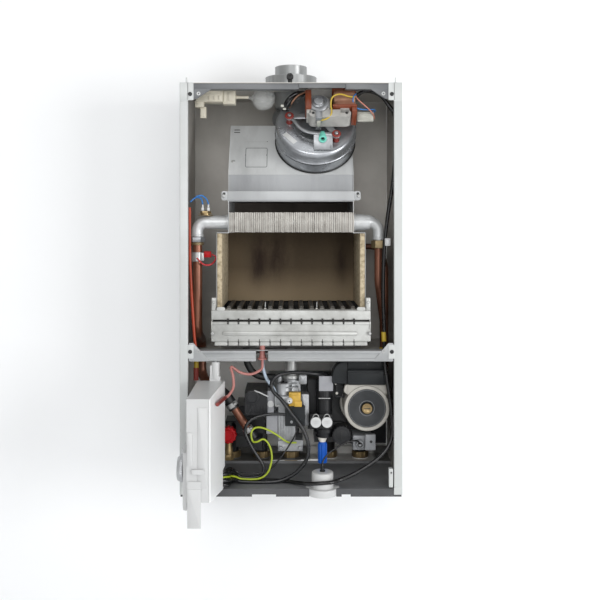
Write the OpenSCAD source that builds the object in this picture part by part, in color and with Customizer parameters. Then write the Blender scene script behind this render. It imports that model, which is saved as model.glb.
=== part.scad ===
// Wall-hung gas boiler with its front cover taken off.
// X runs to the right, Y runs into the wall and Z runs up.
// The origin is on the wall face, in the middle of the cabinet's bottom edge.

/* [Cabinet] */
// Width of the cabinet
cab_w = 400; // [390:1:430]
// Height of the cabinet's side panels
cab_h = 740; // [736:1:760]
// Depth of the cabinet from the wall face to the front flanges
cab_d = 240; // [238:1:246]
// Thickness of the folded steel sheet
sheet_t = 1.2; // [0.8:0.1:1.6]
// Width of the front flange of a side panel
flange_w = 15; // [12:1:18]
// Depth of the hem behind a front flange
hem_d = 8; // [5:1:10]
// Width of the screw tabs that carry the two cross members
tab_w = 10; // [9:1:12]
// Height of the service floor of the bottom tray
tray_z = 10; // [8:1:11]
// Depth of the bottom tray
tray_d = 162; // [154:1:162]
// Drop of the bottom tray's front lip below the cabinet
lip_drop = 4; // [2:1:6]
// Height of the top bar
top_bar_h = 11; // [9:1:14]
// Height of the cross bar between the two compartments
cross_h = 19; // [16:1:20]
// Underside of the cross bar
cross_z = 239; // [238:1:240]
// Depth of the cross bar
cross_d = 25; // [22:1:28]
// Radius of the cabinet screws' heads
screw_head_r = 3.6; // [3:0.1:4.2]
// Radius of the cabinet screws' threads
screw_r = 2; // [1.5:0.1:2.2]
// Radius of the two holes for wall hooks
hook_r = 5; // [4:0.5:6]
// Distance between the wall hooks
hook_pitch = 180; // [160:1:200]
// Height of the wall hooks
hook_z = 655; // [645:1:665]
// Clearance between fitted sheet parts
fit = 0.3; // [0.2:0.05:0.5]

/* [Flue adapter] */
// Radius of the air intake collar
air_r = 50; // [49:0.5:52]
// Height of the air intake collar above the cabinet
air_h = 32; // [25:1:40]
// Radius of the inner flue pipe
flue_r = 31; // [30:0.5:32]
// Height of the inner flue pipe above the cabinet
flue_h = 53; // [45:1:60]
// Wall of both pipes
flue_wall = 1; // [0.8:0.1:1.5]
// Distance of the flue axis from the wall face
flue_y = 100; // [96:1:104]

/* [Fan and hood] */
// Width of the flue hood
hood_w = 232; // [228:1:244]
// Tilt of the hood's sloped panel from the vertical
hood_tilt = 34; // [33:1:35]
// Underside of the flue hood
hood_z = 528; // [526:1:530]
// Radius of the fan housing
fan_r = 76.5; // [72:0.5:77]
// Depth of the fan housing
fan_d = 55; // [50:1:56]
// Sideways place of the fan axis
fan_x = 50; // [44:1:52]
// Distance of the fan axis up the sloped panel
fan_up = 84; // [80:1:86]
// Radius of the fan impeller
impeller_r = 62; // [55:1:64]
// Depth of the fan impeller
impeller_d = 30; // [24:1:34]
// Radius of the fan shaft
fan_shaft_r = 4; // [3:0.5:5]
// Radius of the fan motor's rotor
fan_rotor_r = 13; // [11:0.5:14]
// Radial running clearance of the shafts
run_gap = 0.05; // [0.03:0.01:0.09]

/* [Heat exchanger] */
// Width of the finned block
fin_w = 226; // [220:1:227]
// Height of the finned block
fin_h = 36; // [34:1:38]
// Underside of the finned block
fin_z = 471; // [471:1:473]
// Thickness of one fin
fin_t = 0.8; // [0.6:0.1:1]
// Number of fins
fin_count = 46; // [40:1:50]
// Distance from the wall face to the front of the exchanger and chamber
core_front = 215; // [212:1:217]
// Distance from the wall face to the back of the exchanger
core_back = 58; // [56:1:62]
// Number of water tubes through the fins
tube_count = 5; // [4:1:5]
// Width of a flat water tube
tube_w = 24; // [20:1:25]
// Height of a flat water tube
tube_h = 12; // [10:1:14]
// Radius of the left water manifold
left_manifold_r = 13; // [11:0.5:14]
// Radius of the right water manifold
right_manifold_r = 16; // [14:0.5:17]
// Outer diameter of the main copper pipes
copper_d = 18; // [15:1:18]

/* [Chamber and burner] */
// Outer width of the combustion chamber
chamber_w = 272; // [268:1:274]
// Distance from the wall face to the back of the chamber
chamber_back = 53; // [52:1:54]
// Thickness of the insulation boards
board_t = 9; // [7:1:10]
// Number of burner blades
blade_count = 13; // [11:1:13]
// Thickness of a burner blade
blade_t = 9; // [7:0.5:10]
// Top of the burner blades
blade_top = 333; // [331:1:334]
// Width of the burner front
burner_w = 288; // [284:1:292]
// Height of the burner front
burner_h = 58; // [56:1:58]
// Underside of the burner front
burner_z = 272; // [272:1:273]
// Depth of the burner front
burner_d = 18; // [16:1:19]
// Thickness of the expansion vessel
vessel_t = 48; // [44:1:49]

/* [Hydraulics] */
// Radius of the pump's can
pump_r = 41.4; // [40:0.2:42]
// Sideways place of the pump axis
pump_x = 140; // [138:1:142]
// Height of the pump axis
pump_z = 146; // [144:1:148]
// Distance from the wall face to the pump's face
pump_front = 200; // [197:1:203]
// Length of the pump's can
pump_len = 72; // [66:1:73]
// Radius of the pump's rotor
pump_rotor_r = 18; // [15:1:22]
// Radius of the brass bleed screw
bleed_r = 9.6; // [8:0.2:10]
// Outer radius of the water connection tails
tail_r = 13.2; // [12:0.2:13.4]
// Radius of the bore in the connection tails
tail_bore_r = 9; // [7:0.5:10]
// Reach of the connection tails below the cabinet
tail_drop = 15; // [12:1:20]
// Radius of the red relief knob
relief_r = 16.5; // [14:0.5:17]
// Width of the blue filling handle
handle_w = 17; // [15:0.5:18]
// Radius of the pressure gauge
gauge_r = 20; // [19:0.5:21]
// Radius of the gauge's flange
gauge_flange_r = 27; // [25:0.5:27]

/* [Control box] */
// Length of the control box
box_len = 161; // [155:1:161]
// Top of the control box
box_top = 204; // [200:1:206]
// Distance of the hinge axis behind the front flanges
hinge_back = 6; // [5:1:7]
// Distance of the hinge axis from the cabinet's side
hinge_in = 64; // [62:1:66]
// Radius of the hinge pins
hinge_pin_r = 3; // [2.5:0.1:3.5]
// Wall of the moulded control box
box_wall = 2.2; // [1.8:0.1:2.6]
// Radius of the two control knobs
knob_r = 22; // [19:0.5:23]
// Height of a control knob above the panel
knob_h = 10; // [8:0.5:11]
// Radius of a knob's shaft
knob_shaft_r = 3; // [2.5:0.1:3.5]
// Radius of the reset button
button_r = 6; // [5:0.25:7]

/* [Hidden] */
$fn = 48;

hw = cab_w / 2;
front = -cab_d;
// inner edge of the front flanges
flange_x = hw - flange_w;
// outer end of the cross members, just inside the hems
member_x = flange_x - sheet_t - fit;
// front face of the sheet behind the flanges
member_front = front + sheet_t;
screw_x = flange_x - 4;
top_screw_z = cab_h - 21;
cross_screw_z = cross_z + 17.5;
// half width of the sheets between the side panels
span = hw - sheet_t - fit;
partition_z = cross_z + 8;
hinge_x = hw - hinge_in;
hinge_y = cab_d - hinge_back;

// tilted frame of the fan: its origin is where the fan axis meets the hood's slope
slope_y = -190;
slope_z = 577;
fan_origin = [fan_x, slope_y + fan_up * sin(hood_tilt), slope_z + fan_up * cos(hood_tilt)];

module block(a, b) {
    translate(a) cube(b - a);
}

// cylinder from point a along X, Y or Z
module rod(a, length, r, along) {
    turn = along == "x" ? [0, 90, 0] : along == "y" ? [-90, 0, 0] : [0, 0, 0];
    translate(a) rotate(turn) cylinder(h = length, r = r);
}

module fan_frame() {
    translate(fan_origin) rotate([90 - hood_tilt, 0, 0]) children();
}

// outline of a flat plate with half round ends, centred, w wide and h high
module slot(w, h) {
    square([w - h, h], center = true);
    translate([(w - h) / 2, 0]) circle(d = h);
    translate([-(w - h) / 2, 0]) circle(d = h);
}

// points of a swept tube: rings square to the route, carried along without twist
function unit(v) = v / norm(v);
function tangent(p, i) = unit(p[min(i + 1, len(p) - 1)] - p[max(i - 1, 0)]);
function side_of(t) = unit(abs(t[2]) < 0.9 ? cross(t, [0, 0, 1]) : cross(t, [1, 0, 0]));
function carried(v, t) = unit(v - (v * t) * t);
function sides_of(p, i = 0, last = undef, out = []) =
    i == len(p) ? out :
    let (t = tangent(p, i), s = i == 0 ? side_of(t) : carried(last, t))
    sides_of(p, i + 1, s, concat(out, [s]));

module tube(p, d, n = 8) {
    s = sides_of(p);
    rings = len(p);
    points = [for (i = [0 : rings - 1])
        let (t = tangent(p, i), u = s[i], v = cross(t, u))
        for (k = [0 : n - 1])
            p[i] + d / 2 * (cos(360 * k / n) * u + sin(360 * k / n) * v)];
    skin = [for (i = [0 : rings - 2], k = [0 : n - 1])
        let (a = i * n + k, b = i * n + (k + 1) % n)
        each [[a, a + n, b], [b, a + n, b + n]]];
    caps = [[for (k = [0 : n - 1]) k], [for (k = [n - 1 : -1 : 0]) (rings - 1) * n + k]];
    polyhedron(points = points, faces = concat(skin, caps));
}

// a route with each inner corner rounded to radius r in a few steps
function corner(a, b, c, r, steps) =
    let (u = unit(a - b), v = unit(c - b), half = acos(u * v) / 2,
        reach = r / tan(half), mid = unit(u + v), centre = b + mid * r / sin(half),
        sweep = 180 - 2 * half)
    [for (k = [0 : steps])
        let (f = k / steps - 0.5, w = unit(v - u))
        centre + r * (sin(f * sweep) * w - cos(f * sweep) * mid)];
function rounded(p, r, steps = 4) = [
    p[0],
    for (i = [1 : len(p) - 2]) each corner(p[i - 1], p[i], p[i + 1], r, steps),
    p[len(p) - 1]];

// Cabinet

module side_shape() {
    difference() {
        union() {
            block([-hw, front, 0], [-hw + sheet_t, 0, cab_h]);
            block([-hw, front, 0], [-flange_x, front + sheet_t, cab_h]);
            block([-flange_x - sheet_t, front, tray_z + 3], [-flange_x, front + hem_d, cab_h - 34]);
            block([-flange_x - 1, front, cab_h - 32], [-flange_x + tab_w, front + sheet_t, cab_h]);
            block([-flange_x - 1, front, cross_z + 5],
                [-flange_x + tab_w, front + sheet_t, cross_z + 30]);
            block([-hw + 11, front, cab_h - 1], [-hw + 14, front + sheet_t, cab_h + 9]);
        }
        rod([-screw_x, front - 1, top_screw_z], sheet_t + 2, screw_r + 0.2, "y");
        rod([-screw_x, front - 1, cross_screw_z], sheet_t + 2, screw_r + 0.2, "y");
    }
}

module side_panel_left() { color("whitesmoke") side_shape(); }
module side_panel_right() { color("whitesmoke") mirror([1, 0, 0]) side_shape(); }

module back_panel() {
    color("gray") difference() {
        block([-span, -sheet_t, 0], [span, 0, cab_h - sheet_t - fit]);
        for (s = [-1, 1])
            rod([s * hook_pitch / 2, -sheet_t - 1, hook_z], sheet_t + 2, hook_r, "y");
    }
}

module top_panel() {
    color("gray") difference() {
        block([-span, member_front + fit, cab_h - sheet_t], [span, 0, cab_h]);
        rod([0, -flue_y, cab_h - sheet_t - 1], sheet_t + 2, air_r - flue_wall - 1, "z");
    }
}

module bottom_tray() {
    lip_y = member_front + fit;
    color("dimgray") {
        difference() {
            union() {
                block([-span, lip_y, tray_z - sheet_t], [span, lip_y + tray_d, tray_z]);
                block([-span, lip_y, -lip_drop], [span, lip_y + sheet_t, tray_z]);
                // upturned rear edge, close in front of the plate that carries the pipe tails
                block([-span, lip_y + tray_d - sheet_t, tray_z - 0.1],
                    [span, lip_y + tray_d, tray_z + 5]);
                block([-hinge_x - 9, -hinge_y - 4, tray_z - 0.1],
                    [-hinge_x + 9, -hinge_y + 8, tray_z + 0.6]);
            }
            rod([gauge_x, -gauge_y, -lip_drop - 1], tray_z + lip_drop + 2,
                gauge_flange_r + fit, "z");
            block([-70, lip_y - 1, -lip_drop - 1], [-27, lip_y + sheet_t + 1, 0]);
            block([91, lip_y - 1, -lip_drop - 1], [107, lip_y + sheet_t + 1, 0]);
            // hole of the control box's lower hinge pin
            rod([-hinge_x, -hinge_y, tray_z - 3], 8, hinge_pin_r - 0.5, "z");
        }
        // the lower hinge pin, riveted into its hole
        rod([-hinge_x, -hinge_y, tray_z - sheet_t], 8, hinge_pin_r, "z");
    }
}

// a member's gusset in the front plane, from its inner corner x_in out to the member's end
module gusset(x_in, z_far, z_near) {
    color("silver") translate([0, member_front + sheet_t, 0]) rotate([90, 0, 0])
        linear_extrude(sheet_t)
            polygon([[member_x, z_near], [x_in, z_near], [x_in + 28, z_far], [member_x, z_far]]);
}

module top_bar() {
    z0 = cab_h - sheet_t - fit - top_bar_h;
    color("silver") difference() {
        union() {
            block([-member_x, member_front, z0], [member_x, member_front + sheet_t, z0 + top_bar_h]);
            block([-member_x, member_front, z0], [member_x, member_front + 15, z0 + sheet_t]);
            block([-member_x, member_front, z0 + top_bar_h - sheet_t],
                [member_x, member_front + 15, z0 + top_bar_h]);
            for (s = [0, 1]) mirror([s, 0, 0]) gusset(member_x - 41.5, cab_h - 30, z0 + 1);
        }
        for (s = [-1, 1])
            rod([s * screw_x, member_front - 1, top_screw_z], sheet_t + 2, screw_r, "y");
        // notch over the fan motor
        block([fan_x - 36, member_front - 1, z0 - 1], [fan_x + 48, member_front + 16, z0 + 3.5]);
    }
}

module cross_bar() {
    z1 = cross_z + cross_h;
    rib = cross_h / 3;
    color("silver") difference() {
        union() {
            // a channel open to the back, with one long rib along its face
            translate([-member_x, 0, 0]) rotate([90, 0, 90]) linear_extrude(2 * member_x)
                polygon([
                    [member_front + cross_d, cross_z], [member_front, cross_z],
                    [member_front, cross_z + rib], [member_front + 1, cross_z + rib + 1],
                    [member_front + 1, z1 - rib], [member_front, z1 - rib + 1],
                    [member_front, z1], [member_front + cross_d, z1],
                    [member_front + cross_d, z1 - sheet_t], [member_front + 2.6, z1 - sheet_t],
                    [member_front + 2.6, cross_z + sheet_t],
                    [member_front + cross_d, cross_z + sheet_t]]);
            for (s = [0, 1]) mirror([s, 0, 0]) gusset(member_x - 36.5, z1 + 14, cross_z);
        }
        // way through for the ignition lead's grommet
        block([-63, member_front - 1, cross_z - 1], [-41, member_front + cross_d + 1, z1 - 3]);
        for (s = [-1, 1])
            rod([s * screw_x, member_front - 1, cross_screw_z], sheet_t + 4, screw_r, "y");
    }
    // upper hinge pin of the control box
    color("silver") rod([-hinge_x, -hinge_y, cross_z - 14], 14.6, hinge_pin_r, "z");
}

// where a tube and a cable pass the partition in grommets
grommets = [[26 - hw, -205], [hw - 28, -208]];

module partition_floor() {
    y0 = member_front + cross_d + fit;
    color("gray") difference() {
        block([-span, y0, partition_z], [span, -sheet_t - fit, partition_z + sheet_t]);
        rod([-flow_x, -flow_back, partition_z - 1], sheet_t + 2, copper_d / 2 + 1, "z");
        rod([0, -gas_y, partition_z - 1], sheet_t + 2, gas_r + 1, "z");
        rod([return_x, -return_y, partition_z - 1], sheet_t + 2, copper_d / 2 + 1, "z");
        rod([vessel_x, -vessel_y, partition_z - 1], sheet_t + 2, 8, "z");
        rod([hose_x, -hose_y, partition_z - 1], sheet_t + 2, 8, "z");
        for (p = grommets) rod([p[0], p[1], partition_z - 1], sheet_t + 2, 6, "z");
        block([-62, y0 - 1, partition_z - 1], [-42, y0 + 15, partition_z + 3]);
    }
}

// pan head screw whose head seats on the point, pointing along +Y
module screw(p, head_r, r, length) {
    rod([p[0], p[1] - 2.2, p[2]], 2.2, head_r, "y");
    rod([p[0], p[1] - 0.5, p[2]], length + 0.5, r, "y");
}

module screws() {
    color("black") {
        for (s = [-1, 1], z = [top_screw_z, cross_screw_z])
            screw([s * screw_x, front, z], screw_head_r, screw_r - 0.1, sheet_t * 2 + 3);
        for (s = [-1, 1]) screw([s * (hood_w / 2 + 5), -core_front, hood_z + 9], 3, 1.6, 5);
        for (s = [-1, 1])
            screw([s * burner_screw_x, -burner_front_y - 3, burner_z + 16], 3.2, 1.6, 6);
    }
}

// Flue adapter

module pipe(p, r, wall, h) {
    translate(p) rotate_extrude() translate([r - wall, 0]) square([wall, h]);
}

flue_pipe_r = flue_r - 0.6;
spigot_z = 20;

module flue_adapter() {
    base = [0, -flue_y, cab_h];
    low = spout_top - 10;
    color("dimgray") {
        pipe(base, air_r, flue_wall, air_h);
        pipe(base, air_r + 12, 12.5, 1.5);
        // the inner pipe, and the wider spigot on its end
        pipe([0, -flue_y, low], flue_pipe_r, flue_wall, base[2] + spigot_z - low);
        pipe(base + [0, 0, spigot_z - 1], flue_r, flue_wall, flue_h - spigot_z + 1);
        for (a = [30, 150, 270])
            translate(base + [0, 0, 4]) rotate([0, 0, a])
                translate([flue_pipe_r - 0.5, -0.75, 0])
                    cube([air_r - flue_pipe_r - 0.3, 1.5, 14]);
    }
}

// Air pressure switch

module pressure_switch() {
    top = cab_h - sheet_t;
    color("antiquewhite") translate([0, 0, top]) {
        block([-174, -212, -29.8], [-125, -178, -5.8]);
        block([-125.5, -208, -32.8], [-102, -182, -5.8]);
        block([-176, -209, -38.8], [-160, -186, -26.8]);
        block([-167, -203, -57.8], [-156, -192, -37.8]);
        block([-160, -195, -6.3], [-118, -178, 0]);
        rod([-102.5, -195, -18.8], 24, 3, "x");
    }
}

module switch_dome() {
    // shallow translucent bowl with its axis towards the front
    color("lightblue") translate([-51, -195, cab_h - 23]) rotate([90, 0, 0]) difference() {
        union() {
            cylinder(h = 4, r = 21.5);
            translate([0, 0, -12]) cylinder(h = 13, r = 18);
            translate([0, 0, 3.9]) cylinder(h = 7, r1 = 20, r2 = 13);
        }
        translate([0, 0, -1]) cylinder(h = 9, r = 16);
        translate([0, 0, -1]) rotate([0, -90, 0]) cylinder(h = 40, r = 3.3);
    }
}

module rubber_parts() {
    // grommets under the fan motor's arms
    color("maroon") fan_frame() for (p = arm_ends)
        translate([p[0], p[1], fan_d + 0.2]) cylinder(h = arm_z - fan_d - 0.4, r = 6);
    // sampling plug on the flange in front of the air collar
    color("black") difference() {
        union() {
            rod([-2, -flue_y - air_r - 11, cab_h + 1.8], 20, 4, "z");
            rod([-2, -flue_y - air_r - 17, cab_h + 24], 11, 6.6, "y");
        }
        rod([-2, -flue_y - air_r - 18, cab_h + 24], 5, 2, "y");
    }
    // grommet of the ignition lead in the cross bar
    color("pink") translate([-52, -222, cross_z + 1]) difference() {
        cylinder(h = 8, r = 9);
        translate([0, 0, -1]) cylinder(h = 10, r = 2.8);
    }
    // clamped water hose at the lower left
    color("black") tube(rounded([hose_in, [-138, -165.6, 174.8], [-121.7, -187, 168.3], hose_out], 8, 3),
        21, 12);
    // grommets where a tube and a cable pass the partition
    for (p = grommets)
        color("black") pipe([p[0], p[1], partition_z - 2], 5.8, p[0] < 0 ? 2.7 : 1.7, 5);
    // siphon hose down to the gas valve side
    color("black") tube([[hose_x, -hose_y, partition_z + 10], [-84, -168, 236], [-80, -168, 220],
        [-70, -168, 206], [-54, -168, 199], [-29.3, -168, 198]], 13, 10);
}

// Flue hood: a closed shell on the slope's own frame

module hood_prism(inset) {
    // the slope starts at the step and ends at the top
    run = 99;
    top_z = slope_z + run;
    top_y = slope_y + run * tan(hood_tilt);
    a = inset / cos(hood_tilt);
    b = inset * tan(45 - hood_tilt / 2);
    translate([-hood_w / 2 + inset, 0, 0]) rotate([90, 0, 90])
        linear_extrude(hood_w - 2 * inset) polygon([
            [-core_front + inset, hood_z - inset], [-core_front + inset, hood_z + 17 - inset],
            [slope_y + inset, hood_z + 17 - inset], [slope_y + inset, slope_z - b + inset * 0.1],
            [top_y + a - inset * tan(hood_tilt), top_z - inset],
            [-chamber_back - 7 - inset, top_z - inset], [-chamber_back - 7 - inset, hood_z - inset]]);
}

module flue_hood() {
    color("silver") difference() {
        union() {
            hood_prism(0);
            for (s = [-1, 1])
                translate([s * (hood_w / 2 + 5), -core_front, hood_z + 9]) rotate([-90, 0, 0])
                    difference() {
                        translate([-6, -8, 0]) cube([12, 17, 1.5]);
                        translate([0, 0, -1]) cylinder(h = 4, r = 1.8);
                    }
        }
        hood_prism(1);
        fan_frame() translate([0, 0, -10]) cylinder(h = 20, r = inlet_r);
    }
}

// Fan: all shapes stand on the slope, with the fan axis along +Z of the tilted frame

inlet_r = 40;
arm_z = fan_d + 14;
arm_ends = [[-53, -4], [32, -47]];
spout_top = cab_h - 18;
volute = [-4, -6];
// middle and width of the stator leg inside the coil
leg = [47, 16];
// lower end of the nipple bracket's foot, at the nipple's side
nipple_foot = fan_origin + [7, -69 * sin(hood_tilt) - (fan_d + 1.5) * cos(hood_tilt),
    -69 * cos(hood_tilt) + (fan_d + 1.5) * sin(hood_tilt)];
stator_z = fan_d + 18;
stator_t = 28;

module fan_housing() {
    spout = [0, -flue_y, spout_top];
    color("silver") difference() {
        union() {
            fan_frame() translate([volute[0], volute[1], 0.3]) rotate_extrude() polygon([
                [0, 0], [fan_r - 8, 0], [fan_r - 2, 6], [fan_r - 2, fan_d * 0.42],
                [fan_r, fan_d * 0.46], [fan_r, fan_d * 0.54], [fan_r - 1, fan_d * 0.58],
                [fan_r - 1, fan_d - 7], [fan_r - 2.5, fan_d - 3],
                [fan_r - 6, fan_d - 0.9], [fan_r - 12, fan_d - 0.3], [0, fan_d - 0.3]]);
            // seats of the motor's rubber mounts
            fan_frame() for (p = arm_ends) translate([p[0], p[1], fan_d - 3]) cylinder(h = 3.1, r = 8);
            // outlet duct that turns up into the flue
            hull() {
                fan_frame() translate([-46, 38, 16])
                    cylinder(h = fan_d - 32, r = 14, $fn = 32);
                translate(spout - [0, 0, 28]) cylinder(h = 4, r = flue_r - 4, $fn = 32);
            }
            translate(spout - [0, 0, 27]) cylinder(h = 27, r = flue_pipe_r - flue_wall - fit);
        }
        // impeller chamber, inlet, shaft hole and outlet
        fan_frame() {
            translate([0, 0, 4]) cylinder(h = impeller_d + 8, r = impeller_r + 2);
            translate([0, 0, -1]) cylinder(h = 8, r = inlet_r - 2);
            cylinder(h = fan_d + 10, r = fan_shaft_r + run_gap);
            translate([-46, 38, 20]) cylinder(h = 14, r = 11);
        }
        translate(spout - [0, 0, 26]) cylinder(h = 27, r = flue_r - 4);
        translate(spout - [8, 14, 36]) cylinder(h = 20, r = 9);
    }
}

module fan_rotor() {
    color("gainsboro") fan_frame() {
        translate([0, 0, 8]) difference() {
            cylinder(h = impeller_d, r = impeller_r);
            translate([0, 0, -1]) cylinder(h = impeller_d - 2, r = impeller_r - 14);
        }
        for (a = [0 : 30 : 330]) rotate([0, 0, a])
            translate([inlet_r - 4, -0.8, 9]) cube([impeller_r - inlet_r - 8, 1.6, impeller_d - 2]);
        translate([0, 0, 10]) cylinder(h = stator_z + stator_t + 8 - 10, r = fan_shaft_r);
        translate([0, 0, 10]) cylinder(h = impeller_d - 4, r = 10);
        translate([0, 0, stator_z]) cylinder(h = stator_t, r = fan_rotor_r);
    }
}

module fan_stator() {
    // C-shaped lamination stack round the rotor, with the coil's leg on the right
    color("darkgray") fan_frame() translate([0, 0, stator_z]) difference() {
        linear_extrude(stator_t) difference() {
            union() {
                translate([20, -21.5]) slot(76, 17);
                translate([20, 38.5]) slot(76, 8);
                translate([-3, 8]) square([38, 58], center = true);
                translate([leg[0], 8]) square([leg[1], 58], center = true);
            }
            circle(r = fan_rotor_r + 0.5);
            translate([27, 11]) square([22, 46], center = true);
        }
        for (x = [-10, 50]) translate([x, -21.5, -1]) cylinder(h = stator_t + 2, r = 1.6);
    }
}

module fan_coil() {
    color("sienna") fan_frame() translate([leg[0], 12, stator_z - 10]) difference() {
        union() {
            for (v = [-22, 18]) translate([-22, v, 0]) cube([44, 4, stator_t + 16]);
            translate([-19, -18.5, 2]) cube([38, 37, stator_t + 12]);
        }
        translate([-leg[1] / 2 - fit, -30, 10 - fit])
            cube([leg[1] + 2 * fit, 60, stator_t + 2 * fit]);
    }
}

module fan_brackets() {
    top = stator_z + stator_t + 0.3;
    color("silver") fan_frame() {
        // bearing caps above and below the stator, with arms to the rubber mounts
        difference() {
            union() {
                translate([0, 0, top]) cylinder(h = 6, r = 19);
                translate([0, 0, top + 5]) cylinder(h = 4, r = 9);
                translate([-5, -34, top]) cube([10, 22, 2]);
                translate([-4, -34, arm_z]) cube([8, 3, top + 1 - arm_z]);
                translate([-5, -34, arm_z]) cube([10, 20, 2]);
            }
            translate([0, 0, arm_z - 1]) cylinder(h = 60, r = fan_shaft_r + run_gap);
        }
        difference() {
            for (p = arm_ends) hull() {
                translate([0, 0, arm_z]) cylinder(h = 3, r = 14, $fn = 32);
                translate([p[0], p[1], arm_z]) cylinder(h = 3, r = 8, $fn = 32);
            }
            translate([0, 0, arm_z - 1]) cylinder(h = 6, r = fan_shaft_r + 1);
        }
        // foot of the angle that carries the test nipple
        translate([-9, -69, fan_d + 0.01]) cube([32, 17, 1.5]);
    }
    color("silver") difference() {
        translate(nipple_foot - [15.6, 0.8, 1]) cube([33.7, 1.5, 27.5]);
        translate(nipple_foot + [0, 0.25, 24]) rotate([123, 0, 0])
            cylinder(h = 20, r = 6.8, center = true);
    }
    color("turquoise") translate(nipple_foot + [0, 0.25, 24]) rotate([123, 0, 0]) difference() {
        union() {
            translate([0, 0, -9]) cylinder(h = 22, r = 6.5);
            translate([0, 0, 9]) cylinder(h = 4, r = 7.6);
        }
        translate([0, 0, 5]) cylinder(h = 9, r = 3.6);
    }
}

// Heat exchanger

exchanger_d = core_front - core_back;
tube_pitch = (exchanger_d - tube_w) / (tube_count - 1) * 0.96;
tube_mid = -(core_front + core_back) / 2;
fin_mid = fin_z + fin_h / 2;
plate_x = fin_w / 2 + 1.5;

module tube_row(w, h) {
    for (i = [0 : tube_count - 1])
        translate([tube_mid + (i - (tube_count - 1) / 2) * tube_pitch, fin_mid]) slot(w, h);
}

module exchanger_fins() {
    pitch = (fin_w - fin_t) / (fin_count - 1);
    color("gainsboro") for (i = [0 : fin_count - 1])
        translate([-fin_w / 2 + i * pitch, 0, 0]) rotate([90, 0, 90])
            linear_extrude(fin_t) difference() {
                translate([-core_front, fin_z]) square([exchanger_d, fin_h]);
                tube_row(tube_w + 0.2, tube_h + 0.2);
            }
}

module exchanger_tubes() {
    color("darkgray") {
        rotate([90, 0, 90]) translate([0, 0, -plate_x]) linear_extrude(2 * plate_x) difference() {
            tube_row(tube_w, tube_h);
            tube_row(tube_w - 2, tube_h - 2);
        }
        // end plates, carried by the chamber walls below and carrying the hood above
        for (s = [0, 1]) mirror([s, 0, 0]) {
            rotate([90, 0, 90]) translate([0, 0, plate_x - 1]) linear_extrude(1) difference() {
                translate([-core_front, fin_z - 1]) square([exchanger_d + 1.2, hood_z - fin_z + 1]);
                tube_row(tube_w - 1, tube_h - 1);
            }
            block([plate_x - 1, -core_front, fin_z - 1.8], [chamber_w / 2, -core_back, fin_z - 0.8]);
        }
        // sheet that closes the hot gas passage at the back
        block([-plate_x, -core_back + 0.2, fin_z - 1], [plate_x, -core_back + 1.2, hood_z]);
    }
}

// a water manifold: stub from the end plate, elbow and drop to its union nut
module manifold(r, reach, out_r, y, drop) {
    bend = 16;
    x0 = plate_x + 0.2;
    difference() {
        union() {
            rod([x0, y, fin_mid], reach - bend - x0, r, "x");
            rod([x0, y, fin_mid], 4, r + 2, "x");
            // shoulder that narrows from the stub to the elbow
            translate([reach - bend - 0.5, y, fin_mid]) rotate([0, 90, 0])
                cylinder(h = 5, r1 = r, r2 = out_r + 0.6);
            translate([reach - bend, y, fin_mid - bend]) rotate([90, 0, 0])
                rotate_extrude(angle = 90) translate([bend, 0]) circle(r = out_r);
            rod([reach, y, drop], fin_mid - bend - drop, out_r, "z");
        }
        rod([x0 - 1, y, fin_mid], 16, r - 3, "x");
    }
}

flow_x = hw - 27;
flow_y = 195;
return_top_x = hw - 38;
return_top_y = 190;
nut_h = 15;
left_nut_z = fin_mid - 42;
right_nut_z = fin_mid - 48;

module manifold_left() {
    color("silver") mirror([1, 0, 0])
        manifold(left_manifold_r, flow_x, 10, -flow_y, left_nut_z + 3);
}

module manifold_right() {
    color("silver") manifold(right_manifold_r, return_top_x, 9.5, -return_top_y, right_nut_z + 3);
}

module nut(p, across, h, bore) {
    translate(p) difference() {
        cylinder(h = h, r = across / 2 / cos(30), $fn = 6);
        translate([0, 0, -1]) cylinder(h = h + 2, r = bore);
    }
}

// places of the five connection tails along the plate
tail_xs = [-118, -60, 0, 77, pump_x];
tail_y = -45;
plate_z = 12;
plate_t = 2;

module brass_fittings() {
    color("goldenrod") {
        for (x = tail_xs) {
            translate([x, tail_y, -tail_drop]) difference() {
                union() {
                    // thread with its run-out below the plate
                    cylinder(h = tail_drop + tray_z - 1, r = tail_r);
                    cylinder(h = 32, r = tail_r - 0.4);
                    translate([0, 0, plate_z + plate_t + tail_drop + 0.2])
                        cylinder(h = 14, r = tail_r + 2.5);
                }
                translate([0, 0, -1]) cylinder(h = 60, r = tail_bore_r);
            }
        }
        nut([-flow_x, -flow_y, left_nut_z], 24, nut_h, 10.2);
        nut([return_top_x, -return_top_y, right_nut_z], 23, nut_h, 9.7);
    }
}

flow_back = 120;
// ends of the sloping copper pipe and of the hose that feeds it
copper_top = [-105, -187, 143];
copper_end = [-76, -187, 99];
hose_in = [-149.8, -150.3, 179.9];
hose_out = [-105.2, -187, 143.3];
return_x = hw - 24;
return_y = 150;
vessel_x = hw - 16;
vessel_y = 110;
hose_x = -84;
hose_y = 168;

module flow_pipe() {
    top = left_nut_z + 2.7;
    color("peru") {
        tube(rounded([[-flow_x, -flow_y, top], [-flow_x, -flow_y, 285],
            [-flow_x, -flow_back, 262], [-flow_x, -flow_back, 190], [-150, -150, 180]], 22, 3),
            copper_d, 12);
        tube([copper_top, copper_end], 15, 12);
    }
}

module right_pipes() {
    top = right_nut_z + 2.7;
    color("peru") {
        tube(rounded([[return_top_x, -return_top_y, top], [return_top_x, -return_top_y, 380],
            [return_x, -return_y, 300], [return_x, -return_y, 212], [return_x, -100, 190]], 24),
            copper_d - 3, 12);
        tube(rounded([[118.6, -28, 440], [vessel_x, -28, 440], [vessel_x, -vessel_y, 400],
            [vessel_x, -vessel_y, 210], [182, -90, 185]], 20), 12, 10);
    }
}

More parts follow.
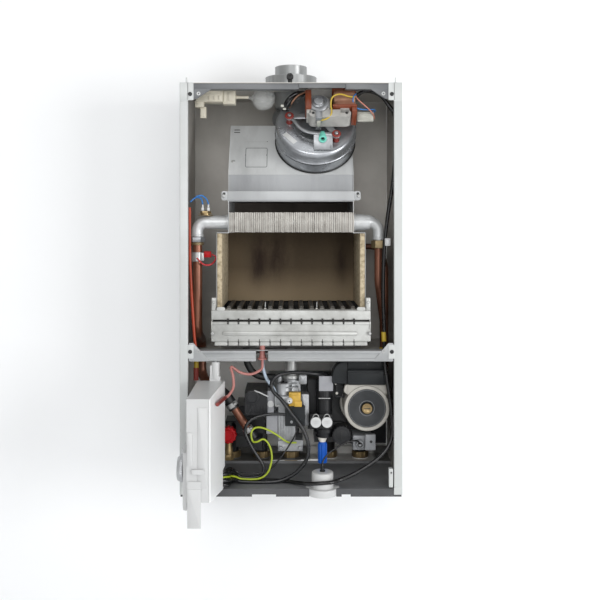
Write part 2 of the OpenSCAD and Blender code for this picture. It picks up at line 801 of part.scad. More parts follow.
module pipe_sensors() {
    // overheat thermostat on the left manifold, with two spade terminals
    color("goldenrod") {
        rod([-158, -flow_y, fin_mid + 13.9], 3, 9, "z");
        rod([-158, -flow_y, fin_mid + 16], 5, 7, "z");
    }
    color("white") for (x = [-164, -153])
        block([x, -flow_y - 3, fin_mid + 20.8], [x + 2, -flow_y + 3, fin_mid + 32]);
    // clip sensor on the left pipe
    color("gray") difference() {
        rod([-flow_x, -flow_y, 416], 18, 12, "z");
        rod([-flow_x, -flow_y, 415], 20, copper_d / 2 + 0.2, "z");
        block([-flow_x - 14, -flow_y - 1, 415], [-flow_x - 5, -flow_y + 14, 435]);
    }
    color("firebrick") block([-flow_x + 12.2, -flow_y - 8, 424], [-flow_x + 26, -flow_y + 2, 436]);
    // sensor block at the lower right of the pump
    color("gray") {
        block([116, -176, 63], [153, -122.3, 90]);
        rod([128, -188, 76], 14, 8, "y");
    }
}

// Combustion chamber and burner

chamber_top = fin_z - 2;
chamber_z = burner_z + burner_h + fit;
chamber_x = chamber_w / 2;
chamber_t = 1;
burner_front_y = core_front + 13;
burner_screw_x = burner_w / 2 - 2;

module chamber_casing() {
    color("silver") {
        for (s = [0, 1]) mirror([s, 0, 0])
            block([chamber_x - chamber_t, -core_front, chamber_z],
                [chamber_x, -chamber_back, chamber_top]);
        block([-chamber_x, -chamber_back - chamber_t, partition_z + sheet_t + 0.2],
            [chamber_x, -chamber_back, chamber_top]);
        block([-chamber_x, -chamber_back - chamber_t, chamber_z],
            [chamber_x, -chamber_back + 2.5, chamber_z + chamber_t]);
        // feet of the chamber stand on the partition beside the burner
        for (s = [0, 1]) mirror([s, 0, 0]) {
            block([chamber_x - chamber_t, -120, partition_z + sheet_t + 0.2],
                [chamber_x, -chamber_back, chamber_z + 0.1]);
            block([chamber_x - 16, -120, partition_z + sheet_t + 0.2],
                [chamber_x, -chamber_back, partition_z + sheet_t + 1.4]);
        }
    }
}

module chamber_boards() {
    x1 = chamber_x - chamber_t - 0.2;
    y1 = -chamber_back - chamber_t - 0.2;
    color("wheat") {
        for (s = [0, 1]) mirror([s, 0, 0])
            block([x1 - board_t, -core_front + 0.5, chamber_z + 1.5], [x1, y1, chamber_top - 0.3]);
        block([-x1 + board_t + 0.2, y1 - board_t, chamber_z + 1.5],
            [x1 - board_t - 0.2, y1, chamber_top - 0.3]);
    }
}

blade_x = chamber_x - chamber_t - board_t - blade_t - 3;
blade_pitch = 2 * blade_x / (blade_count - 1);
blade_z = burner_z + 13;

module burner_blades() {
    color("darkgray") for (i = [0 : blade_count - 1])
        translate([-blade_x + i * blade_pitch - blade_t / 2, 0, 0]) difference() {
            translate([0, -core_front + 8, 0]) rotate([90, 0, 90]) linear_extrude(blade_t)
                polygon([[0, blade_z], [130, blade_z + 10], [135, blade_z + 18],
                    [135, blade_top - 3], [132, blade_top], [3, blade_top], [0, blade_top - 3]]);
            // port slots across the top of the blade
            for (k = [0 : 8])
                block([1, -core_front + 16 + k * 14, blade_top - 4],
                    [blade_t - 1, -core_front + 24 + k * 14, blade_top + 1]);
        }
    // rear rail that carries the blades' tails
    color("darkgray")
        block([-chamber_x + chamber_t + fit, -core_front + 104, blade_z - 3],
            [chamber_x - chamber_t - fit, -core_front + 118, blade_z + 7.1]);
}

module burner_front() {
    y = -burner_front_y;
    top = burner_z + burner_h;
    color("lightgray") difference() {
        union() {
            translate([-burner_w / 2, 0, 0]) rotate([90, 0, 90]) linear_extrude(burner_w) polygon([
                [y + burner_d, burner_z], [y + 2, burner_z], [y, burner_z + 2],
                [y, burner_z + 10], [y - 3, burner_z + 13], [y - 3, burner_z + 19],
                [y, burner_z + 22], [y, burner_z + 37], [y + 5, burner_z + 37.5],
                [y + 5, burner_z + 40], [y + 1, burner_z + 40.5], [y + 1, top - 2],
                [y + 3, top], [y + burner_d, top], [y + burner_d, top - 2],
                [y + 10, top - 2], [y + 10, burner_z + 2], [y + burner_d, burner_z + 2]]);
            // side ears that hang the burner on the chamber walls
            for (s = [0, 1]) mirror([s, 0, 0]) {
                block([chamber_x + 0.2, y + 3, top - 1], [burner_w / 2, y + 22, top + 22]);
                block([burner_w / 2 - 1.5, y + 4, burner_z], [burner_w / 2, y + burner_d, top]);
            }
        }
        // slots for the gas jets, one to a blade
        for (i = [0 : blade_count - 1])
            block([-blade_x + i * blade_pitch - 2, y - 1, burner_z + 34],
                [-blade_x + i * blade_pitch + 2, y + 12, burner_z + 42]);
        for (s = [-1, 1])
            rod([s * burner_screw_x, y - 4, burner_z + 16], 8, 1.7, "y");
    }
}

module electrodes() {
    // ignition and flame sensing electrodes between the blades
    for (x = [-blade_x + 3.5 * blade_pitch, -blade_x + 8.5 * blade_pitch]) {
        color("white") rod([x, -core_front + 16, blade_z - 7], blade_top - blade_z + 5, 3.4, "z");
        color("silver") {
            rod([x, -core_front + 16, blade_top - 3], 12, 1, "z");
            block([x - 6, -core_front - 2.7, blade_z - 2], [x + 6, -core_front + 20, blade_z - 0.8]);
        }
    }
}

module expansion_vessel() {
    color("firebrick") union() {
        hull() for (x = [-88, 88], z = [330, 590])
            translate([x, -3, z]) rotate([90, 0, 0]) cylinder(h = vessel_t - 6, r = 30, $fn = 32);
        hull() for (x = [-80, 80], z = [338, 582])
            translate([x, -sheet_t - fit, z]) rotate([90, 0, 0])
                cylinder(h = vessel_t, r = 26, $fn = 32);
    }
}

// Hydraulics

module hydraulic_plate() {
    color("lightgray") difference() {
        union() {
            block([-span, -76, plate_z], [span, -sheet_t - fit, plate_z + plate_t]);
            block([-span, -16, plate_z], [span, -14, plate_z + 16]);
        }
        for (x = tail_xs) rod([x, tail_y, plate_z - 1], plate_t + 2, tail_r + 0.3, "z");
        block([-40, -77, plate_z - 1], [40, -64, plate_z + 3]);
        block([20, -77, plate_z - 1], [56, -60, plate_z + 3]);
    }
    color("black") for (x = tail_xs)
        pipe([x, tail_y, plate_z + plate_t + 0.01], tail_r + 4, 1.4, 2);
}

gas_r = 11;
gas_y = 165;

module gas_pipe() {
    // riser from the gas valve, and the jet rail behind the burner front
    rail_y = -burner_front_y + 10 + 14;
    color("silver") {
        rod([0, -gas_y, 196], 80, gas_r, "z");
        rod([0, -gas_y, 196], 6, gas_r + 4, "z");
        rod([-118, -gas_y - 30, 266], 236, 9, "x");
        rod([0, -gas_y - 30, 266], 36, 9, "y");
        for (i = [0 : blade_count - 1])
            rod([-blade_x + i * blade_pitch, -gas_y - 30, 274], 10.5, 2.5, "z");
    }
}

module gas_valve() {
    color("silver") {
        block([-31, -190, 150], [17, -140, 168]);
        rod([-14, -172, 167], 22, 17.6, "z");
        block([2, -178, 167], [18, -140, 193]);
        rod([0, -gas_y, 150], 45.7, gas_r + 3, "z");
        rod([-22, -168, 188], 16, 6, "z");
        rod([-29, -168, 198], 8, 5, "x");
        block([-24, -186, 84], [8, -120, 151]);
        block([-46, -184, 95], [-24.2, -150, 132]);
        block([-24, -188, 64], [22, -130, 84.5]);
        rod([0, tail_y - 8, 44], 30, 12, "z");
        block([-16, -131, 62], [16, tail_y - 2, 80]);
        rod([0, tail_y, 28.5], 34, 11, "z");
        for (x = [-18, 16]) rod([x, -192, 70], 10, 3, "y");
    }
    color("black") block([-11, -199, 113], [26, -186.2, 149.5]);
}

module gas_valve_coil() {
    // modulating coil in its yoke, with the round adjusting cap
    color("khaki") {
        block([-4, -202, 150.5], [18, -190.2, 176]);
        block([6, -204, 149.8], [20, -190.2, 160]);
    }
    color("white") {
        rod([-3, -208, 161], 5.8, 8, "y");
        rod([-3, -211, 161], 4, 4, "y");
    }
}

module flow_group() {
    color("black") {
        block([-86, -190, 133], [-44, -100, 175]);
        block([-105, -150, 62], [-50, -70, 140]);
        // socket for the sloping copper pipe
        translate(copper_end + [0.2, 0, -0.3]) rotate([0, 146.6, 0]) cylinder(h = 12, r = 11);
        block([-76, -190, 66], [-54, -149, 88]);
        difference() {
            rod([-72, -196, 165], 8, 13, "y");
            rod([-72, -197, 165], 6, 9, "y");
        }
        for (x = [-118, -60]) rod([x, tail_y, 28.5], 46, 12, "z");
        block([-128, -80, 62], [-48, tail_y + 12, 86]);
        // body of the relief valve
        rod([-117, -169.7, 93], 60, 10, "y");
        block([-127, -120, 75], [-107, -70, 104]);
    }
    color("lightgray") block([-43.7, -184, 134], [-32, -150, 175]);
}

// Sideways place of the filling handle
handle_x = 59;

module return_group() {
    color("black") difference() {
        union() {
            block([32, -150, 96], [104, -60, 190]);
            rod([62, -172, 88], 102, 15, "z");
            rod([62, -172, 186], 10, 15.5, "z");
            rod([62, -172, 98], 6, 18, "z");
            block([36, -189, 108], [76, -172, 131]);
            block([44, -160, 74], [98, -100, 112]);
            rod([94, -188, 94], 40, 17, "y");
            rod([94, -192, 94], 6, 14, "y");
            block([84, -168, 160], [106, -120, 189]);
            // pump volute and the passages down to the tails
            rod([pump_x, -(pump_front - pump_len) + 0.3, pump_z], 56, 47, "y");
            block([100, -122, 62], [184, -60, 130]);
            for (x = [77, pump_x]) rod([x, tail_y, 28.5], 50, 12, "z");
            block([65, -100, 60], [pump_x + 20, tail_y + 12, 84]);
            rod([return_x, -100, 128], 52, 11, "z");
        }
        // seat of the pump motor, then the wet cavity of the impeller
        rod([pump_x, -pump_front - 10, pump_z], pump_len + 10.2, pump_r + 6.3, "y");
        rod([pump_x, -(pump_front - pump_len) - 1, pump_z], 30, 30, "y");
        // bore of the diverter cartridge and the slot of the filter cap
        rod([62, -172, 93], 80, 6, "z");
        block([93, -193, 84], [95.2, -190, 104]);
        // bore of the filling valve's stem
        rod([handle_x, -172, 80], 14, 4.2, "z");
    }
    color("gray") block([52, -189.5, 176], [78, -187.8, 203.5]);
    // sealing plugs with their wire bails
    color("ivory") for (x = [46, 66.5]) rod([x, -198, 119.7], 8.8, 9.8, "y");
}

module plate_exchanger() {
    color("silver") {
        block([-46, -57.5, 104], [140, -16, 184]);
        for (x = [-36, 130], z = [118, 170]) rod([x, -59.7, z], 3, 9, "y");
    }
}

module pump_motor() {
    y0 = -pump_front;
    color("silver") difference() {
        union() {
            rod([pump_x, y0, pump_z], pump_len, pump_r, "y");
            rod([pump_x, y0 + pump_len - 10, pump_z], 9.8, pump_r + 6, "y");
            block([pump_x - 35, y0 + 2, pump_z + 26], [pump_x + 35, y0 + 18, pump_z + 44]);
        }
        // recess of the face, rotor can and bleed hole
        rod([pump_x, y0 - 1, pump_z], 2.5, pump_r - 4.4, "y");
        rod([pump_x, y0 + 8, pump_z], pump_len, pump_rotor_r + fit, "y");
        rod([pump_x, y0 - 1, pump_z], 12, bleed_r * 0.6 + run_gap, "y");
    }
    color("black") difference() {
        rod([pump_x, y0 + 1.6, pump_z], 0.8, pump_r - 5, "y");
        rod([pump_x, y0, pump_z], 4, bleed_r + 1.4, "y");
    }
}

module terminal_box() {
    x0 = pump_x - 36;
    z0 = pump_z + 44.3;
    color("black") {
        block([x0, -pump_front - 5, z0], [x0 + 70, -pump_front + 40, z0 + 26]);
        block([x0 + 1, -pump_front + 4, z0 + 25.9], [x0 + 72, -pump_front + 40, z0 + 43]);
        rod([x0 - 14, -pump_front + 22, z0 + 9], 14.5, 9, "x");
        rod([x0 - 26, -pump_front + 22, z0 + 9], 12.5, 6, "x");
    }
}

module pump_rotor() {
    y0 = -pump_front;
    color("gainsboro") {
        rod([pump_x, y0 + 14, pump_z], pump_len - 16, pump_rotor_r, "y");
        rod([pump_x, y0 + pump_len - 3, pump_z], 12, 7, "y");
        rod([pump_x, y0 + pump_len + 4, pump_z], 10, 27, "y");
        rod([pump_x, y0 + pump_len + 13, pump_z], 8, 14, "y");
    }
}

module bleed_screw() {
    color("goldenrod") difference() {
        union() {
            rod([pump_x, -pump_front - 2.4, pump_z], 3.6, bleed_r, "y");
            rod([pump_x, -pump_front, pump_z], 9, bleed_r * 0.6, "y");
        }
        block([pump_x - bleed_r - 1, -pump_front - 3, pump_z - 0.8],
            [pump_x + bleed_r + 1, -pump_front - 1.4, pump_z + 0.8]);
    }
}

module relief_knob() {
    color("red") {
        rod([-117, -190, 93], 20, relief_r, "y");
        rod([-117, -192.5, 93], 3, relief_r - 5, "y");
        for (a = [0 : 30 : 330])
            translate([-117, -189, 93]) rotate([0, a, 0])
                translate([relief_r - 1, 0, -1.6]) cube([2, 18, 3.2]);
    }
}

module filling_handle() {
    color("royalblue") translate([handle_x, -172, 0]) {
        translate([0, 0, 38]) cylinder(h = 40, r = handle_w / 2);
        for (a = [0 : 45 : 315]) rotate([0, 0, a])
            translate([handle_w / 2 - 1, -1.5, 39]) cube([2, 3, 36]);
        translate([0, 0, 74]) cylinder(h = 18, r = 4.15);
    }
    color("lightgray") translate([handle_x, -172, 77.8]) difference() {
        cylinder(h = 9, r1 = 6, r2 = 9);
        translate([0, 0, -1]) cylinder(h = 12, r = 4);
    }
}

// Pressure gauge: a cup that hangs in the tray's lip, with its dial facing down

gauge_x = 57;
gauge_y = cab_d - 14;

module gauge() {
    color("white") translate([gauge_x, -gauge_y, -3]) difference() {
        union() {
            cylinder(h = 13, r = gauge_flange_r);
            cylinder(h = 41, r = gauge_r);
            for (s = [-1, 1]) translate([s * (gauge_flange_r + 1.5) - 2, -6, 1]) cube([4, 12, 9]);
        }
        translate([0, 0, -1]) cylinder(h = 9, r = gauge_flange_r - 3);
    }
    color("black") rod([gauge_x, -gauge_y, 37.8], 8, 4, "z");
    // glass held under the dial
    color("lightblue") rod([gauge_x, -gauge_y, -3], 1.2, gauge_flange_r - 3.2, "z");
}

module gauge_needle() {
    color("red") translate([gauge_x, -gauge_y, 0]) {
        cylinder(h = 4.7, r = 2.5);
        translate([-0.8, -18, 1]) cube([1.6, 24, 0.8]);
    }
}

// Control box, swung open on its hinge: it reaches forward from the left of the cabinet

box_far = -(hinge_y + 2);
box_near = box_far - box_len;
box_left = -hinge_x - 32;
cover_far_x = -hinge_x + 15;
cover_near_x = -hinge_x + 4;
panel_bulge = 10;

// plan outline between the left wall and the slanted back cover
module box_plan(inset) {
    polygon([[box_left + inset, box_near + inset], [cover_near_x + inset, box_near + inset],
        [cover_far_x + inset, box_far - inset], [box_left + inset, box_far - inset]]);
}

// side outline, whose underside rises towards the near end
module box_side(inset) {
    translate([-200, 0, 0]) rotate([90, 0, 90]) linear_extrude(120) polygon([
        [box_far - inset, 12 + inset], [box_far - inset, box_top - inset],
        [box_near + inset, box_top - inset], [box_near + inset, 38 + inset]]);
}

module control_box() {
    color("white") difference() {
        union() {
            intersection() {
                linear_extrude(box_top + 5) box_plan(0);
                box_side(0);
            }
            // bowed control panel on the outer side
            translate([0, 0, 24]) linear_extrude(92) polygon([
                [box_left + 0.1, box_near + 2], [box_left - 6, box_near + 6],
                [box_left - panel_bulge, box_near + 30], [box_left - panel_bulge, box_far - 40],
                [box_left - panel_bulge + 3, box_far - 24], [box_left + 0.1, box_far - 20]]);
            // end plate whose leg reaches down in front of the tray's lip
            block([box_left + 2, box_near - 2.5, -3], [-hinge_x - 9, box_near + 0.1, 72]);
            block([box_left + 10, box_near - 4.5, 84], [-hinge_x - 5, box_near + 0.1, 92]);
            // upper hinge arm
            block([-hinge_x - 10, box_far - 4, box_top - 1], [-hinge_x + 9, -hinge_y + 8, box_top + 8]);
            rod([-hinge_x, -hinge_y, box_top + 4], cross_z - box_top - 5.5, 7.5, "z");
            block([-hinge_x - 9, box_far - 6, box_top + 6], [-hinge_x - 6, -hinge_y, box_top + 28]);
            // lower hinge boss
            rod([-hinge_x, -hinge_y, tray_z + 1.6], 14, 7.5, "z");
        }
        intersection() {
            linear_extrude(box_top + 5) translate([0.01, 0]) polygon([
                [box_left + box_wall, box_near + box_wall], [cover_near_x + 9, box_near + box_wall],
                [cover_far_x + 9, box_far - box_wall], [box_left + box_wall, box_far - box_wall]]);
            box_side(box_wall);
        }
        // bores for the hinge pins
        rod([-hinge_x, -hinge_y, cross_z - 16], 20, hinge_pin_r + run_gap, "z");
        rod([-hinge_x, -hinge_y, tray_z], 8.5, hinge_pin_r + run_gap, "z");
        // bores for the knob shafts and the reset button
        for (y = knob_ys) rod([box_left - 20, y, knob_z], 24, knob_shaft_r + run_gap, "x");
        rod([box_left - 20, button_y, button_z], 24, button_r + 0.3, "x");
    }
}

knob_ys = [box_near + 48, box_far - 58];
knob_z = 79;
button_y = box_far - 30;
button_z = 102;

module control_box_cover() {
    t = box_wall;
    color("white") difference() {
        intersection() {
            linear_extrude(box_top + 5) polygon([
                [cover_near_x + 0.2, box_near - 1], [cover_near_x + t, box_near - 1],
                [cover_far_x + t, box_far + 0.5], [cover_far_x + 0.2, box_far + 0.5]]);
            box_side(0);
        }
        // cable entry beside the hinge
        block([-hinge_x - 4, box_far - 24, 11], [-hinge_x + 26, box_far + 1, 50]);
    }
}

module knob(y) {
    x0 = box_left - panel_bulge - fit;
    color("silver") {
        difference() {
            rod([x0 - knob_h, y, knob_z], knob_h, knob_r, "x");
            block([x0 - knob_h - 1, y - 1, knob_z + 6], [x0 - knob_h + 0.8, y + 1, knob_z + knob_r + 1]);
        }
        rod([x0 - 1, y, knob_z], panel_bulge + 11, knob_shaft_r, "x");
    }
}

module heating_knob() { knob(knob_ys[0]); }
module hot_water_knob() { knob(knob_ys[1]); }

module reset_button() {
    x0 = box_left - panel_bulge - 4;
    color("tomato") rod([x0, button_y, button_z], 14, button_r, "x");
}

// gap under a part that stands on the board
pin_gap = 0.03;

module circuit_board() {
    x0 = box_left + 16;
    color("darkgreen") block([x0, box_near + 6, 48], [x0 + 1.6, box_far - 6, box_top - 8]);
    // transformer, relays, capacitor and terminal strip, each on its own pins
    x1 = x0 + 1.6 + pin_gap;
    color("black") {
        block([x1, box_near + 20, 130], [x0 + 15, box_near + 56, 176]);
        for (y = [70, 90]) block([x1, box_near + y, 150], [x0 + 14, box_near + y + 14, 170]);
        rod([x1, box_near + 124, 96], 16, 9, "x");
        block([x1, box_near + 20, 60], [x0 + 10, box_near + 110, 70]);
    }
    // posts that carry the board on the box's wall
    color("darkgreen") for (y = [box_near + 14, box_far - 14], z = [58, box_top - 16])
        rod([box_left + box_wall + pin_gap, y, z], 16 - box_wall - 2 * pin_gap, 3, "x");
}

// Cables and tubes: hand chosen routes in round numbers

ignition_route = [[-52, -222, 249], [-52, -222, 234], [-54, -220, 222], [-72, -220, 213],
    [-92, -226, 217], [-108, -232, 228], [-104, -238, 212], [-103, -244, 194], [-110, -254, 182],
    [-116, -261.5, 179]];

module ignition_lead() {
    color("pink") tube(ignition_route, 5, 8);
    color("darkred") tube([[-116.6, -264, 179], [-122.2, -352, 186]], 7, 8);
}

impulse_route = [[-50, -206, 250], [-52, -204, 226], [-45, -196, 200], [-33, -190, 182],
    [-28.5, -187.5, 169.2]];
capillary_route = [[57, -226, 46.3], [58, -224, 56], [66, -220, 66], [77, -216, 74], [92, -212, 82],
    [108, -206, 87], [122, -198, 86], [128, -189.8, 78]];

module thin_tubes() {
    color("lightsteelblue") tube(impulse_route, 6, 8);
    color("black") tube(capillary_route, 3, 8);
}

pump_route = [[77, -178, 199.3], [72, -178.5, 200.5], [62, -184, 207], [46, -196, 209],
    [20, -202, 213], [-8, -206, 212], [-27, -208, 206], [-36, -208, 194], [-32, -209, 179],
    [-18, -212, 165], [-4, -212, 146], [10, -212, 128], [22, -212, 110], [30, -212, 90],
    [32, -212, 72], [28, -212, 55], [16, -212, 38], [-2, -211, 24], [-30, -210.5, 14.5],
    [-88, -210.5, 14.5], [-100, -214, 19], [-108, -224, 23], [-111, -236, 25],
    [-116, -247, 28], [-127, -253, 28.5]];
valve_route = [[-11, -204, 136], [-30, -205, 137], [-50, -206, 135], [-68, -208, 130],
    [-80, -210, 120], [-84, -211, 107], [-80, -211, 94], [-72, -211, 78], [-62, -210, 62],
    [-52, -209, 46], [-50, -208, 34], [-60, -206.5, 22.5], [-90, -206.5, 21.5],
    [-100, -210, 29], [-108, -222, 35.5], [-111, -236, 37], [-116, -247, 39.5], [-126, -253, 40]];
sensor_route = [[13, -202, 117], [7, -205, 97], [-2, -206, 82], [-13, -209, 66], [-24, -211, 52],
    [-35, -211, 40], [-48, -209, 32], [-70, -209, 28], [-94, -212, 31], [-104, -216, 38],
    [-108, -224, 41], [-112, -238, 43], [-117, -247, 45], [-126, -252, 45.5]];

module grey_cables() {
    color("dimgray") {
        tube(pump_route, 7, 8);
        tube(valve_route, 6, 8);
        tube(sensor_route, 3, 8);
    }
}

earth_route = [[10, -196, 82], [-6, -200, 84], [-24, -204, 97], [-42, -206, 108], [-58, -207, 113],
    [-69, -207, 110], [-73, -208, 100], [-70, -209, 88], [-62, -213, 88], [-50, -214, 93],
    [-40, -214, 83], [-35, -214, 64], [-37, -214, 46], [-44, -213.5, 30], [-60, -213, 20.5],
    [-90, -213, 20.5], [-100, -216.5, 25], [-108, -226, 29.3], [-111.5, -237, 31.5],
    [-117, -247, 34], [-126, -252, 34.5]];

module earth_wire() {
    color("greenyellow") tube(earth_route, 3.5, 8);
}

fan_route = [[121, -204, 722], [134, -208, 729], [150, -212, 727], [166, -214, 718], [178, -215, 702],
    [189, -215, 682], [190, -215, 620], [186, -212, 560], [177, -210, 500], [171, -208, 440],
    [169, -207, 360], [171, -207, 290], [172, -208, 230], [180, -214, 170], [185, -220, 120],
    [180, -224, 90], [162, -228, 66], [134, -230, 46], [108, -232, 32], [88, -237, 26],
    [73, -247, 24.5], [57, -250.5, 24], [41, -247, 22], [26, -236, 19], [8, -220, 16],
    [-12, -206, 14.5], [-30, -203, 14.5], [-88, -203, 14.5], [-104, -207, 15], [-112, -222, 15.5],
    [-113, -236, 17], [-116, -246, 20.3], [-127, -252, 21]];

module fan_cable() {
    color("black") tube(fan_route, 7, 8);
}

red_route = [[-185, -216, 516], [-185, -215, 470], [-185, -212, 430], [-184, -210, 395],
    [-181, -209, 340], [-177, -208, 280], [-174, -205, 247], [-174, -203, 200]];
blue_route = [[-163, -195, 522.6], [-166, -200, 533], [-175, -208, 534], [-184, -214, 526]];
ntc_route = [[-146, -198, 430], [-138, -200, 424], [-146, -206, 412], [-160, -211, 412], [-172, -214, 424]];

module sensor_wires() {
    color("orangered") tube(red_route, 5.5, 8);
    color("blue") tube(blue_route, 3, 6);
    color("red") tube(ntc_route, 3, 6);
}

side_panel_left();
side_panel_right();
back_panel();
top_panel();
bottom_tray();
top_bar();
cross_bar();
partition_floor();
screws();
flue_adapter();
pressure_switch();
switch_dome();
rubber_parts();
flue_hood();
fan_housing();
fan_rotor();
fan_stator();
fan_coil();
fan_brackets();
exchanger_fins();
exchanger_tubes();
manifold_left();
manifold_right();
brass_fittings();
flow_pipe();
right_pipes();
pipe_sensors();
chamber_casing();
chamber_boards();
burner_blades();
burner_front();
electrodes();
expansion_vessel();
hydraulic_plate();
gas_pipe();
gas_valve();
gas_valve_coil();
flow_group();
return_group();
plate_exchanger();
pump_motor();
terminal_box();
pump_rotor();
bleed_screw();
relief_knob();
filling_handle();
gauge();
gauge_needle();
control_box();
control_box_cover();
heating_knob();
hot_water_knob();
reset_button();
circuit_board();
ignition_lead();
thin_tubes();
grey_cables();
earth_wire();
fan_cable();
sensor_wires();
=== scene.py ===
import math

import bpy
import bmesh
import numpy as np
from bpy.props import FloatProperty, FloatVectorProperty, IntProperty, PointerProperty
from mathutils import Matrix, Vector


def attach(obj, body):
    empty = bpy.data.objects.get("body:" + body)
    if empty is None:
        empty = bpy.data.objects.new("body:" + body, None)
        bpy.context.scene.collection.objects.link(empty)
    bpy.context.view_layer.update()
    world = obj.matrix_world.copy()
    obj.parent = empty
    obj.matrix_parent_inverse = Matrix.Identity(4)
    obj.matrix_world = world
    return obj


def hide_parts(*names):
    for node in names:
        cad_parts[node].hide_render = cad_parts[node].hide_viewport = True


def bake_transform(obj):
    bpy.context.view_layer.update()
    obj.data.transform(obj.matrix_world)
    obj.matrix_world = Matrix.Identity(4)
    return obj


bl_info = {
    "name": "Gas boiler dresser",
    "version": (1, 0, 0),
    "blender": (4, 5, 0),
    "location": "View3D > Sidebar > Boiler",
    "description": "Dresses a wall-hung gas boiler's frame with its metalwork, fan, burner and wiring",
    "category": "Object",
}

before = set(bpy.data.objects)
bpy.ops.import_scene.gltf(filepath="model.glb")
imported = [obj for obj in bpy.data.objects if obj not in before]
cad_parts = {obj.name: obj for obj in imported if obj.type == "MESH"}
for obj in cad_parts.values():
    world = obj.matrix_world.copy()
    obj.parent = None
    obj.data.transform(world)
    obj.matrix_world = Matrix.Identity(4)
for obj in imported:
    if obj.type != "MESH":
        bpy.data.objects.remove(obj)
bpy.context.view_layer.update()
MM = 0.001
SMOOTH_BELOW = 38


# Shapes
# Every shape is a pair (points, faces) in millimetres; a piece is made of several of them.

def arc(cx, cy, r, a0, a1, n):
    """Points on a circle about (cx, cy) from angle a0 to a1 in degrees."""
    a = np.radians(np.linspace(a0, a1, n))
    return np.stack([cx + r * np.cos(a), cy + r * np.sin(a)], 1)


def circle(cx, cy, r, n=40):
    """Closed outline of a circle."""
    return arc(cx, cy, r, 0, 360 - 360 / n, n)


def rect(x0, y0, x1, y1, r=0.0, n=4):
    """Closed outline of a rectangle whose corners are quarter circles of radius r."""
    if r <= 0:
        return np.array([[x0, y0], [x1, y0], [x1, y1], [x0, y1]], float)
    r = min(r, (x1 - x0) / 2 - 1e-3, (y1 - y0) / 2 - 1e-3)
    return np.concatenate([arc(x1 - r, y0 + r, r, -90, 0, n), arc(x1 - r, y1 - r, r, 0, 90, n),
            arc(x0 + r, y1 - r, r, 90, 180, n), arc(x0 + r, y0 + r, r, 180, 270, n)])


def stadium(cx, cy, w, h, n=12):
    """Closed outline of a bar with round ends."""
    return np.concatenate([arc(cx + (w - h) / 2, cy, h / 2, -90, 90, n),
            arc(cx - (w - h) / 2, cy, h / 2, 90, 270, n)])


def fillet(points, r, n=4):
    """Closed outline through the points with each corner cut back by r along both edges
    and bridged by a quadratic curve whose middle control point is the corner."""
    p = np.asarray(points, float)
    a, b = np.roll(p, 1, 0), np.roll(p, -1, 0)
    da, db = a - p, b - p
    la, lb = np.linalg.norm(da, axis=1), np.linalg.norm(db, axis=1)
    ra, rb = np.minimum(r, la * 0.49), np.minimum(r, lb * 0.49)
    s, e = p + da * (ra / la)[:, None], p + db * (rb / lb)[:, None]
    t = np.linspace(0, 1, n + 1)[None, :, None]
    q = (1 - t) ** 2 * s[:, None] + 2 * t * (1 - t) * p[:, None] + t ** 2 * e[:, None]
    return q.reshape(-1, p.shape[1])


def area(o):
    """Signed area of a closed outline."""
    q = np.roll(o, -1, 0)
    return 0.5 * np.sum(o[:, 0] * q[:, 1] - q[:, 0] * o[:, 1])


def inset(o, d):
    """Outline moved inwards by d along the mean normal of its two edges at each point."""
    e = np.roll(o, -1, 0) - o
    e /= np.maximum(np.linalg.norm(e, axis=1), 1e-9)[:, None]
    n = np.stack([-e[:, 1], e[:, 0]], 1)
    m = n + np.roll(n, 1, 0)
    m /= np.maximum((m * m).sum(1) / 2, 0.35)[:, None]
    return o + m * d


def quads(rows, cols, wrap_r=False, wrap_c=True):
    """Faces of a grid of points, wrapping along either direction."""
    i = np.arange(rows if wrap_r else rows - 1)[:, None]
    j = np.arange(cols if wrap_c else cols - 1)[None, :]
    i2, j2 = (i + 1) % rows, (j + 1) % cols
    f = np.stack([i * cols + j, i * cols + j2, i2 * cols + j2, i2 * cols + j], -1)
    return f.reshape(-1, 4).tolist()


def prism(outline, z0, z1, r=0.4, n=2):
    """A plate between z0 and z1 whose rim is rounded: ring k is the outline moved in by
    r(1 - cos a) at height r(1 - sin a) from the face, and both faces are flat caps."""
    o = np.asarray(outline, float)
    if area(o) < 0:
        o = o[::-1]
    r = min(r, abs(z1 - z0) / 2 * 0.98)
    rings = []
    a = np.linspace(0, math.pi / 2, n + 1)
    for k in a:
        rings.append((r * (1 - math.sin(k)), z0 + r * (1 - math.cos(k))))
    for k in a[::-1]:
        rings.append((r * (1 - math.sin(k)), z1 - r * (1 - math.cos(k))))
    if r <= 0:
        rings = [(0, z0), (0, z1)]
    pts = np.concatenate([np.column_stack([inset(o, d), np.full(len(o), z)]) for d, z in rings])
    m, k = len(o), len(rings)
    f = quads(k, m)
    f.append(list(range(m))[::-1])
    f.append(list(range((k - 1) * m, k * m)))
    return pts, f


def revolve(profile, n, closed=False):
    """Points and faces of (radius, height) pairs turned about the local Z axis."""
    p = np.asarray(profile, float)
    a = np.linspace(0, 2 * math.pi, n, endpoint=False)
    pts = np.stack([p[:, None, 0] * np.cos(a), p[:, None, 0] * np.sin(a), np.repeat(p[:, None, 1], n, 1)],
        -1).reshape(-1, 3)
    return pts, quads(len(p), n, wrap_r=closed)


def lathe(profile, n=40):
    """A turned piece; an end that stops short of the axis is closed by a flat cap."""
    pts, f = revolve(profile, n)
    if profile[0][0] > 1e-6:
        f.append(list(range(n))[::-1])
    if profile[-1][0] > 1e-6:
        f.append(list(range(len(pts) - n, len(pts))))
    return pts, f


def disc(r, z0, z1, e=0.5, n=40):
    """A round plate or shaft with eased edges."""
    e = min(e, r * 0.45, abs(z1 - z0) * 0.45)
    return lathe([(0, z0), (r - e, z0), (r - e * 0.3, z0 + e * 0.3), (r, z0 + e), (r, z1 - e),
            (r - e * 0.3, z1 - e * 0.3), (r - e, z1), (0, z1)], n)


